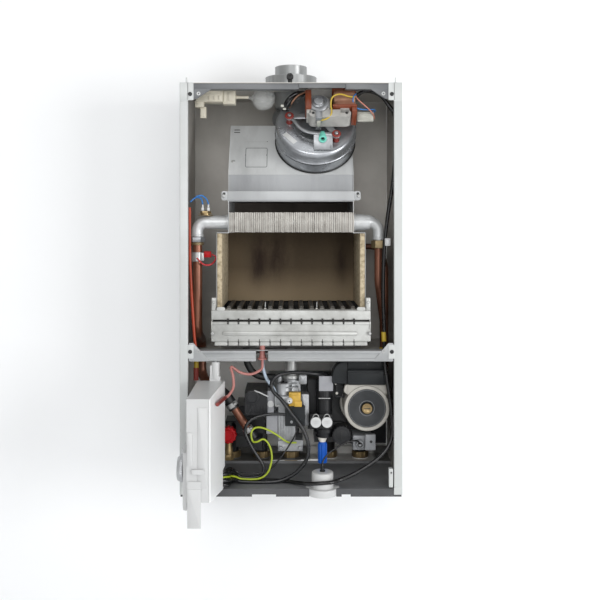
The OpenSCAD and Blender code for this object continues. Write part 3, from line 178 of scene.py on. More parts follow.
def ring(r_in, r_out, z0, z1, e=0.3, n=40):
    """A ring or sleeve with eased edges."""
    e = min(e, (r_out - r_in) * 0.4, abs(z1 - z0) * 0.4)
    p = [(r_in, z0 + e), (r_in + e, z0), (r_out - e, z0), (r_out, z0 + e), (r_out, z1 - e),
        (r_out - e, z1), (r_in + e, z1), (r_in, z1 - e)]
    return revolve(p, n, closed=True)


def smooth_path(points, step):
    """Catmull-Rom curve through the points, sampled about every step."""
    p = np.asarray(points, float)
    q = np.concatenate([[2 * p[0] - p[1]], p, [2 * p[-1] - p[-2]]])
    out = []
    for i in range(len(p) - 1):
        a, b, c, d = q[i:i + 4]
        k = max(2, int(np.linalg.norm(c - b) / step))
        t = np.linspace(0, 1, k, endpoint=False)[:, None]
        out.append(0.5 * (2 * b + (c - a) * t + (2 * a - 5 * b + 4 * c - d) * t ** 2
                + (3 * b - a - 3 * c + d) * t ** 3))
    out.append(p[-1:])
    return np.concatenate(out)


def bent_path(points, r, n=8):
    """Straight runs joined by circular bends of radius r."""
    p = np.asarray(points, float)
    out = [p[:1]]
    for a, b, c in zip(p[:-2], p[1:-1], p[2:]):
        u, v = a - b, c - b
        u, v = u / np.linalg.norm(u), v / np.linalg.norm(v)
        half = math.acos(np.clip(u @ v, -1, 1)) / 2
        if half > math.pi / 2 - 0.02:
            out.append(b[None])
            continue
        mid = (u + v) / np.linalg.norm(u + v)
        w = (v - u) / np.linalg.norm(v - u)
        rr = min(r, 0.48 * min(np.linalg.norm(a - b), np.linalg.norm(c - b)) * math.tan(half))
        centre = b + mid * rr / math.sin(half)
        f = np.linspace(-0.5, 0.5, n + 1)[:, None] * (math.pi - 2 * half)
        out.append(centre + rr * (np.sin(f) * w - np.cos(f) * mid))
    out.append(p[-1:])
    return np.concatenate(out)


def tube(path, r, n=12, caps=True):
    """A circle of radius r carried along the path square to it, without twist."""
    p = np.asarray(path, float)
    t = np.gradient(p, axis=0)
    t /= np.linalg.norm(t, axis=1)[:, None]
    r = np.broadcast_to(np.asarray(r, float), (len(p),))
    u = np.cross(t[0], [0, 0, 1.0]) if abs(t[0, 2]) < 0.9 else np.cross(t[0], [1.0, 0, 0])
    us = []
    for ti in t:
        u = u - (u @ ti) * ti
        u = u / np.linalg.norm(u)
        us.append(u)
    us = np.array(us)
    vs = np.cross(t, us)
    a = np.linspace(0, 2 * math.pi, n, endpoint=False)
    pts = (p[:, None] + r[:, None, None] * (np.cos(a)[None, :, None] * us[:, None] + np.sin(a)[None, :,
                None] * vs[:, None])).reshape(-1, 3)
    f = quads(len(p), n)
    if caps:
        f += [list(range(n))[::-1], list(range((len(p) - 1) * n, len(p) * n))]
    return pts, f


def basis(origin, x, y, z):
    """Matrix of a local frame."""
    m = np.eye(4)
    m[:3, 0], m[:3, 1], m[:3, 2], m[:3, 3] = x, y, z, origin
    return m


def at(shape, m):
    """The shape moved by a matrix."""
    p, f = shape
    return p @ m[:3, :3].T + m[:3, 3], f


def facing(x, y, z):
    """Frame whose Z points at the viewer in front, X right and Y up, at a point."""
    return basis((x, y, z), (1, 0, 0), (0, 0, 1), (0, -1, 0))


def rightward(x, y, z):
    """Frame whose Z points to the right, X into the wall and Y up."""
    return basis((x, y, z), (0, 1, 0), (0, 0, 1), (1, 0, 0))


def upward(x, y, z):
    """Frame whose Z points up."""
    return basis((x, y, z), (1, 0, 0), (0, 1, 0), (0, 0, 1))


def leftward(x, y, z):
    """Frame whose Z points to the left, X into the wall and Y up; mirrored, so only for round pieces
    and blocks."""
    return basis((x, y, z), (0, 1, 0), (0, 0, 1), (-1, 0, 0))


def front_plate(outline, y0, y1, r=0.4, n=2):
    """Prism of an outline in X and Z between the depths y0 and y1."""
    return at(prism(outline, -y1, -y0, r, n), facing(0, 0, 0))


def side_plate(outline, x0, x1, r=0.4, n=2):
    """Prism of an outline in Y and Z between x0 and x1."""
    return at(prism(outline, x0, x1, r, n), rightward(0, 0, 0))


def flat_plate(outline, z0, z1, r=0.4, n=2):
    """Prism of an outline in X and Y between z0 and z1."""
    return prism(outline, z0, z1, r, n)


def slab(a, b, r=0.6, corner=None, along="z", n=2):
    """A block between two corners, with rounded edges."""
    a, b = np.minimum(a, b), np.maximum(a, b)
    c = r if corner is None else corner
    if along == "z":
        return flat_plate(rect(a[0], a[1], b[0], b[1], c), a[2], b[2], r, n)
    if along == "y":
        return front_plate(rect(a[0], a[2], b[0], b[2], c), a[1], b[1], r, n)
    return side_plate(rect(a[1], a[2], b[1], b[2], c), a[0], b[0], r, n)


def strip(line, t):
    """Closed outline of a sheet of thickness t that follows an open line to its left."""
    p = np.asarray(line, float)
    p = p[np.concatenate([[True], np.linalg.norm(np.diff(p, axis=0), axis=1) > 1e-6])]
    e = np.diff(p, axis=0)
    e /= np.linalg.norm(e, axis=1)[:, None]
    n = np.stack([-e[:, 1], e[:, 0]], 1)
    m = np.concatenate([n[:1], n[:-1] + n[1:], n[-1:]])
    k = np.concatenate([[1.0], 2 / np.maximum(((n[:-1] + n[1:]) ** 2).sum(1), 0.4), [1.0]])
    return np.concatenate([p, (p + m * (k * t)[:, None])[::-1]])


def soft_line(points, r, n=4):
    """Open line whose inner corners are cut back by r and bridged by a curve."""
    p = np.asarray(points, float)
    out = [p[:1]]
    for a, b, c in zip(p[:-2], p[1:-1], p[2:]):
        la, lc = np.linalg.norm(a - b), np.linalg.norm(c - b)
        s, e = b + (a - b) * min(r, la / 2) / la, b + (c - b) * min(r, lc / 2) / lc
        t = np.linspace(0, 1, n + 1)[:, None]
        out.append((1 - t) ** 2 * s + 2 * t * (1 - t) * b + t ** 2 * e)
    out.append(p[-1:])
    return np.concatenate(out)


def hexagon(across):
    """Outline of a hexagon of that width across its flats."""
    return circle(0, 0, across / 2 / math.cos(math.pi / 6), 6)


# Pieces

def make(name, groups, body="cabinet", replaces=None):
    """Builds one object from a list of (shapes, finish), with a material slot for each finish in order, and
    hides the frame's node that it replaces."""
    pts, faces, mats, index = [], [], [], []
    base = 0
    for shapes, material in groups:
        if isinstance(shapes, tuple):
            shapes = [shapes]
        if material not in mats:
            mats.append(material)
        k = mats.index(material)
        for p, f in shapes:
            pts.append(np.asarray(p, float))
            faces += [[i + base for i in q] for q in f]
            index += [k] * len(f)
            base += len(p)
    mesh = bpy.data.meshes.new(name)
    mesh.from_pydata((np.concatenate(pts) * MM).tolist(), [], faces)
    for m in mats:
        mesh.materials.append(dressed(m))
    mesh.polygons.foreach_set("material_index", np.array(index, np.int32))
    bm = bmesh.new()
    bm.from_mesh(mesh)
    bmesh.ops.remove_doubles(bm, verts=bm.verts, dist=1e-7)
    bmesh.ops.recalc_face_normals(bm, faces=bm.faces)
    bm.to_mesh(mesh)
    bm.free()
    mesh.polygons.foreach_set("use_smooth", np.ones(len(mesh.polygons), bool))
    mesh.set_sharp_from_angle(angle=math.radians(SMOOTH_BELOW))
    obj = bpy.data.objects.new(name, mesh)
    bpy.context.scene.collection.objects.link(obj)
    if body:
        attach(obj, body)
    if replaces:
        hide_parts(replaces)
    return obj


# Finishes

def shade(hex_colour):
    """Linear colour of a hex code; a colour property is linear already and only gains its alpha."""
    if not isinstance(hex_colour, str):
        return (*hex_colour, 1.0)
    c = np.array([int(hex_colour[i:i + 2], 16) / 255 for i in (1, 3, 5)])
    c = np.where(c <= 0.04045, c / 12.92, ((c + 0.055) / 1.055) ** 2.4)
    return (float(c[0]), float(c[1]), float(c[2]), 1.0)


def wire(tree, a, out, b, inp):
    """Links an output of node a to an input of node b."""
    tree.links.new(a.outputs[out], b.inputs[inp])


def node(tree, kind, **values):
    """A shader node with its properties and input values set."""
    n = tree.nodes.new(kind)
    for k, v in values.items():
        if k.startswith("in_"):
            key = k[3:].replace("_", " ")
            n.inputs[int(key) if key.isdigit() else key].default_value = v
        else:
            setattr(n, k, v)
    return n


def group_shell(name, inputs, outputs):
    """A new node group with named sockets. Each input is (name, kind, default)."""
    g = bpy.data.node_groups.new(name, "ShaderNodeTree")
    for n, kind, value in inputs:
        s = g.interface.new_socket(n, in_out="INPUT", socket_type="NodeSocket" + kind)
        s.default_value = value
    for n, kind in outputs:
        g.interface.new_socket(n, in_out="OUTPUT", socket_type="NodeSocket" + kind)
    return g, g.nodes.new("NodeGroupInput"), g.nodes.new("NodeGroupOutput")


def build_worn_group():
    """Worn finish: two noises mix the colour towards a second one and spread the roughness,
    and a fine noise gives the height."""
    g, gi, go = group_shell("worn_finish", [("Colour", "Color", (0.5, 0.5, 0.5, 1)),
            ("Grime", "Color", (0.1, 0.1, 0.1, 1)), ("Amount", "Float", 0.3), ("Scale", "Float", 20.0),
            ("Roughness", "Float", 0.4), ("Spread", "Float", 0.1), ("Grain Scale", "Float", 400.0),
            ("Grain", "Float", 0.1), ("Stretch", "Vector", (1.0, 1.0, 1.0))],
        [("Colour", "Color"), ("Roughness", "Float"), ("Normal", "Vector")])
    co = node(g, "ShaderNodeTexCoord")
    st = node(g, "ShaderNodeVectorMath", operation="MULTIPLY")
    wire(g, co, "Object", st, 0)
    wire(g, gi, "Stretch", st, 1)
    big = node(g, "ShaderNodeTexNoise", in_Detail=5.0, in_Roughness=0.62)
    wire(g, st, 0, big, "Vector")
    wire(g, gi, "Scale", big, "Scale")
    lift = node(g, "ShaderNodeMapRange", in_1=0.42, in_2=0.72)
    wire(g, big, "Fac", lift, 0)
    amt = node(g, "ShaderNodeMath", operation="MULTIPLY")
    wire(g, lift, 0, amt, 0)
    wire(g, gi, "Amount", amt, 1)
    mix = node(g, "ShaderNodeMix", data_type="RGBA")
    wire(g, amt, 0, mix, 0)
    wire(g, gi, "Colour", mix, 6)
    wire(g, gi, "Grime", mix, 7)
    wire(g, mix, 2, go, "Colour")
    fine = node(g, "ShaderNodeTexNoise", in_Detail=3.0)
    wire(g, st, 0, fine, "Vector")
    wire(g, gi, "Grain Scale", fine, "Scale")
    cen = node(g, "ShaderNodeMath", operation="SUBTRACT", in_1=0.5)
    wire(g, big, "Fac", cen, 0)
    spr = node(g, "ShaderNodeMath", operation="MULTIPLY_ADD")
    wire(g, cen, 0, spr, 0)
    wire(g, gi, "Spread", spr, 1)
    wire(g, gi, "Roughness", spr, 2)
    wire(g, spr, 0, go, "Roughness")
    bump = node(g, "ShaderNodeBump", in_Distance=0.0004)
    wire(g, gi, "Grain", bump, "Strength")
    wire(g, fine, "Fac", bump, "Height")
    wire(g, bump, 0, go, "Normal")


def dressed(name):
    """The finish of this name; the frame has plain materials of its own beside it."""
    return bpy.data.materials["finish_" + name]


def finish(name, colour, grime, amount, scale, rough, spread=0.1, grain=0.05, grain_scale=900,
    stretch=(1, 1, 1), metal=0.0, coat=0.0, **extra):
    """A material on the worn-finish group; metal, coat and the rest sit on the shader."""
    m = bpy.data.materials.new("finish_" + name)
    m.use_nodes = True
    t = m.node_tree
    t.nodes.clear()
    out = node(t, "ShaderNodeOutputMaterial")
    bs = node(t, "ShaderNodeBsdfPrincipled", in_Metallic=metal)
    bs.inputs["Coat Weight"].default_value = coat
    bs.inputs["Coat Roughness"].default_value = 0.08
    for k, v in extra.items():
        bs.inputs[k.replace("_", " ")].default_value = v
    g = t.nodes.new("ShaderNodeGroup")
    g.node_tree = bpy.data.node_groups["worn_finish"]
    g.inputs["Colour"].default_value = shade(colour)
    g.inputs["Grime"].default_value = shade(grime)
    for k, v in (("Amount", amount), ("Scale", scale), ("Roughness", rough), ("Spread", spread),
        ("Grain", grain), ("Grain Scale", grain_scale), ("Stretch", stretch)):
        g.inputs[k].default_value = v
    wire(t, g, "Colour", bs, "Base Color")
    wire(t, g, "Roughness", bs, "Roughness")
    wire(t, g, "Normal", bs, "Normal")
    wire(t, bs, 0, out, 0)
    return m


def build_finishes():
    """Every finish; those a user may recolour take their colour from the panel."""
    build_worn_group()
    user = bpy.context.scene.boiler_colours
    finish("white_enamel", user.cabinet, "#a09f9a", 0.25, 9, 0.35, 0.15, 0.05, 900, coat=0.1)
    finish("grey_sheet", user.inner_sheet, "#8f8c86", 0.5, 6, 0.5, 0.2, 0.1, 300, metal=0.15)
    finish("galvanised_steel", "#b0b1b0", "#73726f", 0.45, 30, 0.38, 0.3, 0.12, 700, metal=0.6)
    finish("tray_enamel", user.tray, "#4c4c4c", 0.5, 12, 0.45, 0.2, 0.08, 500)
    # Black steel, and painted shade in holes, slots and grooves.
    finish("black_steel", "#121314", "#2a2827", 0.3, 60, 0.4, 0.2, 0.1, 900)
    finish("flue_grey", "#a3a5a5", "#56585a", 0.6, 16, 0.36, 0.25, 0.1, 700, (3.0, 3.0, 0.2), metal=0.4)
    finish("cream_plastic", user.pressure_switch, "#8b826c", 0.3, 25, 0.45, 0.1, 0.1, 900)
    finish("clear_dome", "#b9bbb9", "#8b8c8a", 0.2, 30, 0.1, 0.1, 0.05, 300, Alpha=0.2)
    # Black rubber, and painted shade in the test nipple's bore.
    finish("black_rubber", "#0c0d0e", "#1f1f1f", 0.25, 50, 0.5, 0.1, 0.2, 900)
    finish("cast_aluminium", user.fan_housing, "#45474a", 0.6, 14, 0.28, 0.25, 0.3, 1200, metal=0.8)
    finish("lamination_steel", "#b3b2ae", "#6d6b68", 0.4, 30, 0.45, 0.2, 0.2, 900, metal=0.4)
    finish("coil_wrap", "#8a5f49", "#4a2c1c", 0.5, 40, 0.4, 0.2, 0.2, 900, metal=0.2)
    finish("bobbin_brown", "#7a3d26", "#4a1c0c", 0.35, 40, 0.35, 0.1, 0.1, 900)
    finish("fin_metal", "#aaa7a1", "#706b64", 0.5, 60, 0.45, 0.2, 0.1, 600, metal=0.3)
    finish("tinned_copper", "#c3c5c6", "#7b7975", 0.45, 30, 0.36, 0.2, 0.3, 900, metal=0.35)
    finish("brass", user.brass, "#4f3a1f", 0.45, 50, 0.34, 0.2, 0.1, 900, metal=0.7)
    finish("copper", user.copper, "#2e190f", 0.65, 26, 0.34, 0.25, 0.1, 700, (1, 1, 0.3), metal=0.55)
    finish("fibre_board", user.insulation, "#65553d", 0.85, 150, 0.95, 0.05, 1.8, 500)
    finish("burner_steel", "#7e7b76", "#34302c", 0.6, 40, 0.42, 0.2, 0.2, 600, metal=0.7)
    finish("white_ceramic", "#e9e6df", "#b7b09f", 0.3, 50, 0.25, 0.1, 0.05, 500)
    finish("red_enamel", user.expansion_vessel, "#43130f", 0.4, 12, 0.35, 0.2, 0.1, 500, coat=0.2)
    finish("black_plastic", user.water_groups, "#2a2b30", 0.3, 30, 0.4, 0.15, 0.25, 1200,
        Specular_IOR_Level=0.35)
    finish("valve_aluminium", "#9a9c9e", "#434445", 0.55, 40, 0.34, 0.25, 0.35, 1400, metal=0.6)
    finish("plate_steel", "#8f9496", "#4a4c4d", 0.4, 18, 0.35, 0.2, 0.1, 600, metal=0.8)
    finish("pump_can", "#aaa7a0", "#77746c", 0.4, 30, 0.42, 0.2, 0.2, 900, metal=0.15)
    finish("pump_face", "#303234", "#1b1c1e", 0.4, 60, 0.4, 0.2, 0.1, 900, Specular_IOR_Level=0.3)
    finish("red_plastic", user.relief_knob, "#5a090d", 0.3, 30, 0.42, 0.1, 0.05, 900,
        Specular_IOR_Level=0.2)
    finish("blue_plastic", user.filling_handle, "#0c3a78", 0.3, 30, 0.4, 0.1, 0.05, 900,
        Specular_IOR_Level=0.25)
    finish("white_plastic", user.control_box, "#a6a5a1", 0.2, 12, 0.35, coat=0.1)
    finish("silver_plastic", user.knobs, "#7f8184", 0.25, 30, 0.3, 0.1, 0.1, 1200, metal=0.4)
    finish("board_green", "#2c6b3c", "#12331c", 0.4, 60, 0.4, 0.1, 0.1, 900)
    finish("grey_cable", "#131416", "#26282b", 0.25, 30, 0.28)
    finish("black_cable", "#0b0b0c", "#1a1a1b", 0.25, 30, 0.28)
    finish("red_silicone", user.ignition_lead, "#7a443c", 0.4, 40, 0.4)
    finish("dark_red_rubber", "#7a2621", "#3a0f0d", 0.4, 40, 0.4)
    finish("clear_tube", "#aebdcc", "#6d7c8c", 0.3, 30, 0.25, 0.1, 0.05, 500, coat=0.5)
    finish("green_wire", user.earth_wire, "#6a7618", 0.25, 40, 0.4)
    finish("yellow_wire", "#b89c2e", "#8a701c", 0.25, 40, 0.4)
    finish("orange_tube", "#a83c1e", "#6a2414", 0.4, 20, 0.4)
    finish("blue_wire", "#2f6fb0", "#1d4270", 0.25, 40, 0.4)
    finish("peach_wire", "#b87868", "#8a5040", 0.25, 40, 0.4)
    finish("turquoise", "#6fc6b4", "#3b8172", 0.25, 40, 0.4)
    finish("maroon_rubber", "#7d2a22", "#3f1410", 0.25, 40, 0.5)
    finish("bar_steel", "#616365", "#444547", 0.35, 10, 0.4, 0.2, 0.08, 500, metal=0.25)
    finish("hood_steel", "#c3c5c5", "#858686", 0.55, 9, 0.45, 0.25, 0.12, 700, (1.6, 1, 0.5), metal=0.15)
    finish("red_wire", "#b5262c", "#5f0c10", 0.3, 40, 0.35)
    finish("coil_paper", "#a37c64", "#6b4430", 0.5, 40, 0.5, 0.1, 0.2, 900)
    finish("cast_bright", "#9b9da0", "#4f5153", 0.5, 40, 0.34, 0.25, 0.25, 1400, metal=0.7)
    finish("clear_white", "#a9a9a0", "#77776f", 0.3, 40, 0.3, 0.1, 0.1, 900)
    finish("grey_plastic", "#8d8f92", "#4c4e50", 0.35, 40, 0.4, 0.1, 0.15, 900)
    finish("slate_plastic", "#1d2022", "#131517", 0.35, 40, 0.45, 0.1, 0.25, 1200, Specular_IOR_Level=0.25)
    finish("lilac_grey", "#8f9094", "#66676b", 0.35, 30, 0.4, 0.1, 0.1, 900, metal=0.1)
    finish("yellow_bracket", "#bd9838", "#7d6526", 0.4, 60, 0.42, 0.15, 0.1, 900, metal=0.15)
    finish("fin_shade", "#a09c96", "#5f5a54", 0.5, 60, 0.45, 0.2, 0.1, 600, metal=0.4)
    finish("brass_dull", "#8a7a5c", "#4b3a22", 0.5, 40, 0.45, 0.2, 0.2, 900, metal=0.7)
    finish("soot_board", "#9a8769", "#5a4632", 0.7, 60, 0.95, 0.05, 0.8, 700)
    # Near black for soot and for painted shade in the chamber casing, the burner's openings and its flame
    # ports.
    finish("soot_steel", "#1c1a18", "#0e0d0c", 0.5, 60, 0.65, 0.1, 0.2, 900)
    finish("burner_bright", "#b6b7b4", "#706e69", 0.5, 24, 0.4, 0.25, 0.15, 800, metal=0.25)
    # Painted shade for the hood's pressed outline.
    finish("pressed_line", "#5a5c5e", "#303132", 0.4, 40, 0.5, 0.1, 0.1, 900)
    finish("cross_steel", "#9b9d9e", "#6a6b6c", 0.35, 10, 0.4, 0.2, 0.08, 500, metal=0.2)
    # Painted shade: a darker copy of the hood's steel for its lip and ears.
    finish("lip_steel", "#a6a8a9", "#737475", 0.4, 9, 0.42, 0.2, 0.1, 700, (1.6, 1, 0.5), metal=0.15)
    # Painted shade: dark brown for the recess above the exchanger's fins.
    finish("passage_brown", "#6b625b", "#332c27", 0.5, 20, 0.7, 0.1, 0.1, 700)
    finish("back_sheet", "#c4c1bb", "#8f8c86", 0.5, 6, 0.5, 0.2, 0.1, 300, metal=0.15)
    # Painted shade: a darker copy of the hood's steel for its upright front band.
    finish("band_steel", "#96989a", "#66686a", 0.5, 9, 0.45, 0.25, 0.12, 700, (1.6, 1, 0.5), metal=0.15)
    finish("tray_edge", "#48494b", "#333435", 0.5, 12, 0.45, 0.2, 0.08, 500)
    # Painted light: the control box's cover gets a brighter copy of the box's white plastic.
    finish("cover_white", user.control_cover, "#dcdbd8", 0.2, 12, 0.35, coat=0.1)
    # Painted light: a near white standing for light on the plate under the pipes; a painted grey shade
    # covers the rest of it.
    finish("plate_pale", "#e4e3df", "#a5a29b", 0.4, 20, 0.5, 0.2, 0.1, 700)
    finish("pale_stage", "#f4f5f6", "#eef0f1", 0.2, 2, 0.8, 0.05, 0.0, 50)
    smoke_the_back_board()
    paint_light_and_shade_on_the_plate()
    paint_light_on_the_lower_back()


def calc(t, operation, a, b, **settings):
    """One arithmetic node whose two values are each a number or another node with its output."""
    n = node(t, "ShaderNodeMath", operation=operation, **settings)
    for i, v in enumerate((a, b)):
        if isinstance(v, tuple):
            wire(t, v[0], v[1], n, i)
        elif isinstance(v, (int, float)):
            n.inputs[i].default_value = v
        else:
            wire(t, v, 0, n, i)
    return n


def parts_of(name):
    """The node tree of a finish, its shader, its worn-finish group and the place on the piece."""
    t = dressed(name).node_tree
    shader = next(n for n in t.nodes if n.type == "BSDF_PRINCIPLED")
    worn = next(n for n in t.nodes if n.type == "GROUP")
    xyz = node(t, "ShaderNodeSeparateXYZ")
    wire(t, node(t, "ShaderNodeTexCoord"), "Object", xyz, 0)
    return t, shader, worn, xyz


# Soot clouds in metres: middle and half width across, middle and half height, strength
SOOT_CLOUDS = ((-0.067, 0.017, 0.410, 0.042, 0.9), (-0.030, 0.019, 0.422, 0.046, 0.65),
    (0.104, 0.015, 0.415, 0.046, 0.8), (0.03, 0.07, 0.415, 0.036, 0.35), (0.0, 0.25, 0.465, 0.026, 0.4),
    (-0.045, 0.05, 0.408, 0.045, 0.3))


def smoke_the_back_board():
    """Soot on the chamber's back board: a few clouds, each a bell in width and height, broken by
    noise, over board that is paler towards the bottom."""
    t, shader, _, xyz = parts_of("soot_board")
    smoke = node(t, "ShaderNodeTexNoise", in_Scale=42.0, in_Detail=7.0, in_Roughness=0.7)
    upright = node(t, "ShaderNodeMapping", in_3=(1.0, 1.0, 0.35))
    wire(t, node(t, "ShaderNodeTexCoord"), "Object", upright, 0)
    wire(t, upright, 0, smoke, "Vector")
    total = 0.0
    for x, width, z, height, weight in SOOT_CLOUDS:
        across = calc(t, "DIVIDE", calc(t, "SUBTRACT", (xyz, "X"), x), width)
        up = calc(t, "DIVIDE", calc(t, "SUBTRACT", (xyz, "Z"), z), height)
        spread = calc(t, "ADD", calc(t, "MULTIPLY", across, across), calc(t, "MULTIPLY", up, up))
        bell = calc(t, "POWER", 2.718, calc(t, "MULTIPLY", spread, -1.0))
        total = calc(t, "ADD", total, calc(t, "MULTIPLY", bell, weight))
    broken = node(t, "ShaderNodeMapRange", in_1=0.3, in_2=0.7, in_3=0.5, in_4=1.1)
    wire(t, smoke, "Fac", broken, 0)
    soot = calc(t, "MULTIPLY", total, broken, use_clamp=True)
    rise = node(t, "ShaderNodeMapRange", in_1=0.335, in_2=0.40)
    wire(t, xyz, "Z", rise, 0)
    board = node(t, "ShaderNodeMix", data_type="RGBA")
    board.inputs[6].default_value = shade("#907f66")
    board.inputs[7].default_value = shade("#5e513f")
    wire(t, rise, 0, board, 0)
    mix = node(t, "ShaderNodeMix", data_type="RGBA")
    mix.inputs[7].default_value = shade("#2a1d15")
    wire(t, soot, 0, mix, 0)
    wire(t, board, 2, mix, 6)
    wire(t, mix, 2, shader, "Base Color")


def paint_light_and_shade_on_the_plate():
    """Painted light and shade on the plate under the pipes: its pale colour stands for the light under the
    filling set and the pump, and the rest of its length, out of the lamps' reach, is painted a dull grey
    shade."""
    t, shader, worn, xyz = parts_of("plate_pale")
    right = node(t, "ShaderNodeMapRange", in_1=0.034, in_2=0.040)
    wire(t, xyz, "X", right, 0)
    end = node(t, "ShaderNodeMapRange", in_1=0.172, in_2=0.166)
    wire(t, xyz, "X", end, 0)
    bright = calc(t, "MULTIPLY", right, end)
    mix = node(t, "ShaderNodeMix", data_type="RGBA")
    mix.inputs[6].default_value = shade("#5d5c59")
    wire(t, bright, 0, mix, 0)
    wire(t, worn, "Colour", mix, 7)
    wire(t, mix, 2, shader, "Base Color")


def paint_light_on_the_lower_back():
    """Painted light: a paler colour for the back panel below the partition than above it, standing for
    light that falls there.
    """
    t, shader, worn, xyz = parts_of("back_sheet")
    below = node(t, "ShaderNodeMapRange", in_1=0.245, in_2=0.235)
    wire(t, xyz, "Z", below, 0)
    mix = node(t, "ShaderNodeMix", data_type="RGBA")
    mix.inputs[7].default_value = shade("#f4f3f0")
    wire(t, below, 0, mix, 0)
    wire(t, worn, "Colour", mix, 6)
    wire(t, mix, 2, shader, "Base Color")


PLAIN_NODES = {"back_panel": "back_sheet", "top_panel": "grey_sheet", "partition_floor": "grey_sheet",
    "fan_rotor": "galvanised_steel", "pump_rotor": "lamination_steel", "gauge_needle": "red_plastic"}


def dress_plain_nodes():
    """Gives the frame's nodes that show as they are their finish; a drawn piece stands for each
    of the others."""
    for name, finish_name in PLAIN_NODES.items():
        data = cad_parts[name].data
        data.materials.clear()
        data.materials.append(dressed(finish_name))


class BOILER_OT_finishes(bpy.types.Operator):
    """Builds every finish and dresses the nodes of the frame that show as they are"""
    bl_idname = "boiler.finishes"
    bl_label = "Finishes"

    def execute(self, context):
        build_finishes()
        dress_plain_nodes()
        return {"FINISHED"}


# Stage

# Lamps: place, point they are turned to and size, in metres
LAMPS = {"key": ((-0.6, -2.9, 1.5), (0, -0.1, 0.4), (1.5, 1.5)),
    "fill": ((0.35, -2.8, 0.75), (0, -0.1, 0.3), (2.0, 1.4)),
    "side": ((2.1, -2.1, 0.45), (-0.12, -0.28, 0.22), (1.0, 1.0)),
    "top": ((0.0, -1.2, 2.6), (0, -0.1, 0.4), (1.6, 0.9))}
WALL_GAP, FLOOR_Z, REACH = 3, -420, 6000
SENSOR_WIDTH = 36.0


def area_lamp(name, place, aim, extent, power):
    """A rectangular lamp turned towards the point it lights."""
    data = bpy.data.lights.new(name, "AREA")
    data.shape = "RECTANGLE"
    data.size, data.size_y = extent
    data.energy = power
    lamp = bpy.data.objects.new(name, data)
    lamp.location = place
    lamp.rotation_euler = (Vector(aim) - Vector(place)).to_track_quat("-Z", "Y").to_euler()
    bpy.context.scene.collection.objects.link(lamp)


def pale_wall(distance, floor_z, reach):
    """A wall behind the cabinet and a floor far below it, both one sided: from behind they
    are clear, so that the back of the cabinet shows too."""
    wall = [[-reach, distance, floor_z], [reach, distance, floor_z], [reach, distance, reach],
        [-reach, distance, reach]]
    floor = [[-reach, -reach, floor_z], [reach, -reach, floor_z], [reach, distance, floor_z],
        [-reach, distance, floor_z]]
    mesh = bpy.data.meshes.new("room")
    mesh.from_pydata([[c * MM for c in p] for p in wall + floor], [], [[0, 1, 2, 3], [4, 5, 6, 7]])
    mesh.materials.append(dressed("pale_stage"))
    room = bpy.data.objects.new("room", mesh)
    bpy.context.scene.collection.objects.link(room)
    t = dressed("pale_stage").node_tree
    shader = next(n for n in t.nodes if n.type == "BSDF_PRINCIPLED")
    out = next(n for n in t.nodes if n.type == "OUTPUT_MATERIAL")
    clear = node(t, "ShaderNodeBsdfTransparent")
    geometry = node(t, "ShaderNodeNewGeometry")
    mix = node(t, "ShaderNodeMixShader")
    wire(t, geometry, "Backfacing", mix, 0)
    wire(t, shader, 0, mix, 1)
    wire(t, clear, 0, mix, 2)
    wire(t, mix, 0, out, 0)


class BOILER_OT_stage(bpy.types.Operator):
    """Pale wall and floor, soft lamps and the camera"""
    bl_idname = "boiler.stage"
    bl_label = "Stage"

    def execute(self, context):
        s = context.scene.boiler_studio
        pale_wall(WALL_GAP, FLOOR_Z, REACH)
        for name, (place, aim, extent) in LAMPS.items():
            area_lamp(name, place, aim, extent, getattr(s, name + "_power"))
        world = bpy.data.worlds.new("studio")
        world.use_nodes = True
        sky = world.node_tree.nodes["Background"]
        sky.inputs["Color"].default_value = (1, 1, 1, 1)
        sky.inputs["Strength"].default_value = s.ambient
        context.scene.world = world
        context.scene.view_settings.view_transform = "Standard"
        data = bpy.data.cameras.new("camera")
        data.lens, data.sensor_width = s.lens, SENSOR_WIDTH
        data.shift_x, data.shift_y = s.shift
        camera = bpy.data.objects.new("camera", data)
        camera.location = (0, -s.distance, s.eye_height)
        camera.rotation_euler = (math.pi / 2, 0, 0)
        context.scene.collection.objects.link(camera)
        context.scene.camera = camera
        return {"FINISHED"}


# Cables and tubes: the routes of the frame, in millimetres

IGNITION = [[-52, -222, 249], [-52, -222, 234], [-54, -220, 222], [-72, -220, 213], [-92, -226, 217],
    [-108, -232, 228], [-104, -238, 212], [-103, -244, 194], [-110, -254, 182], [-116, -261.5, 179]]
PLUG = [[-116.6, -264, 179], [-122.2, -352, 186]]
IMPULSE = [[-50, -206, 250], [-52, -204, 226], [-45, -196, 200], [-33, -190, 182], [-28.5, -187.5, 169.2]]
CAPILLARY = [[57, -226, 46.3], [58, -224, 56], [66, -220, 66], [77, -216, 74], [92, -212, 82],
    [108, -206, 87], [122, -198, 86], [128, -189.8, 78]]
PUMP_LEAD = [[77, -178, 199.3], [72, -178.5, 200.5], [62, -184, 207], [46, -196, 209], [20, -202, 213],
    [-8, -206, 212], [-27, -208, 206], [-36, -208, 194], [-32, -209, 179], [-18, -212, 165],
    [-4, -212, 146], [10, -212, 128], [22, -212, 110], [30, -212, 90], [32, -212, 72], [28, -212, 55],
    [16, -212, 38], [-2, -211, 24], [-30, -210.5, 14.5], [-88, -210.5, 14.5], [-100, -214, 19],
    [-108, -224, 23], [-111, -236, 25], [-116, -247, 28], [-127, -253, 28.5]]
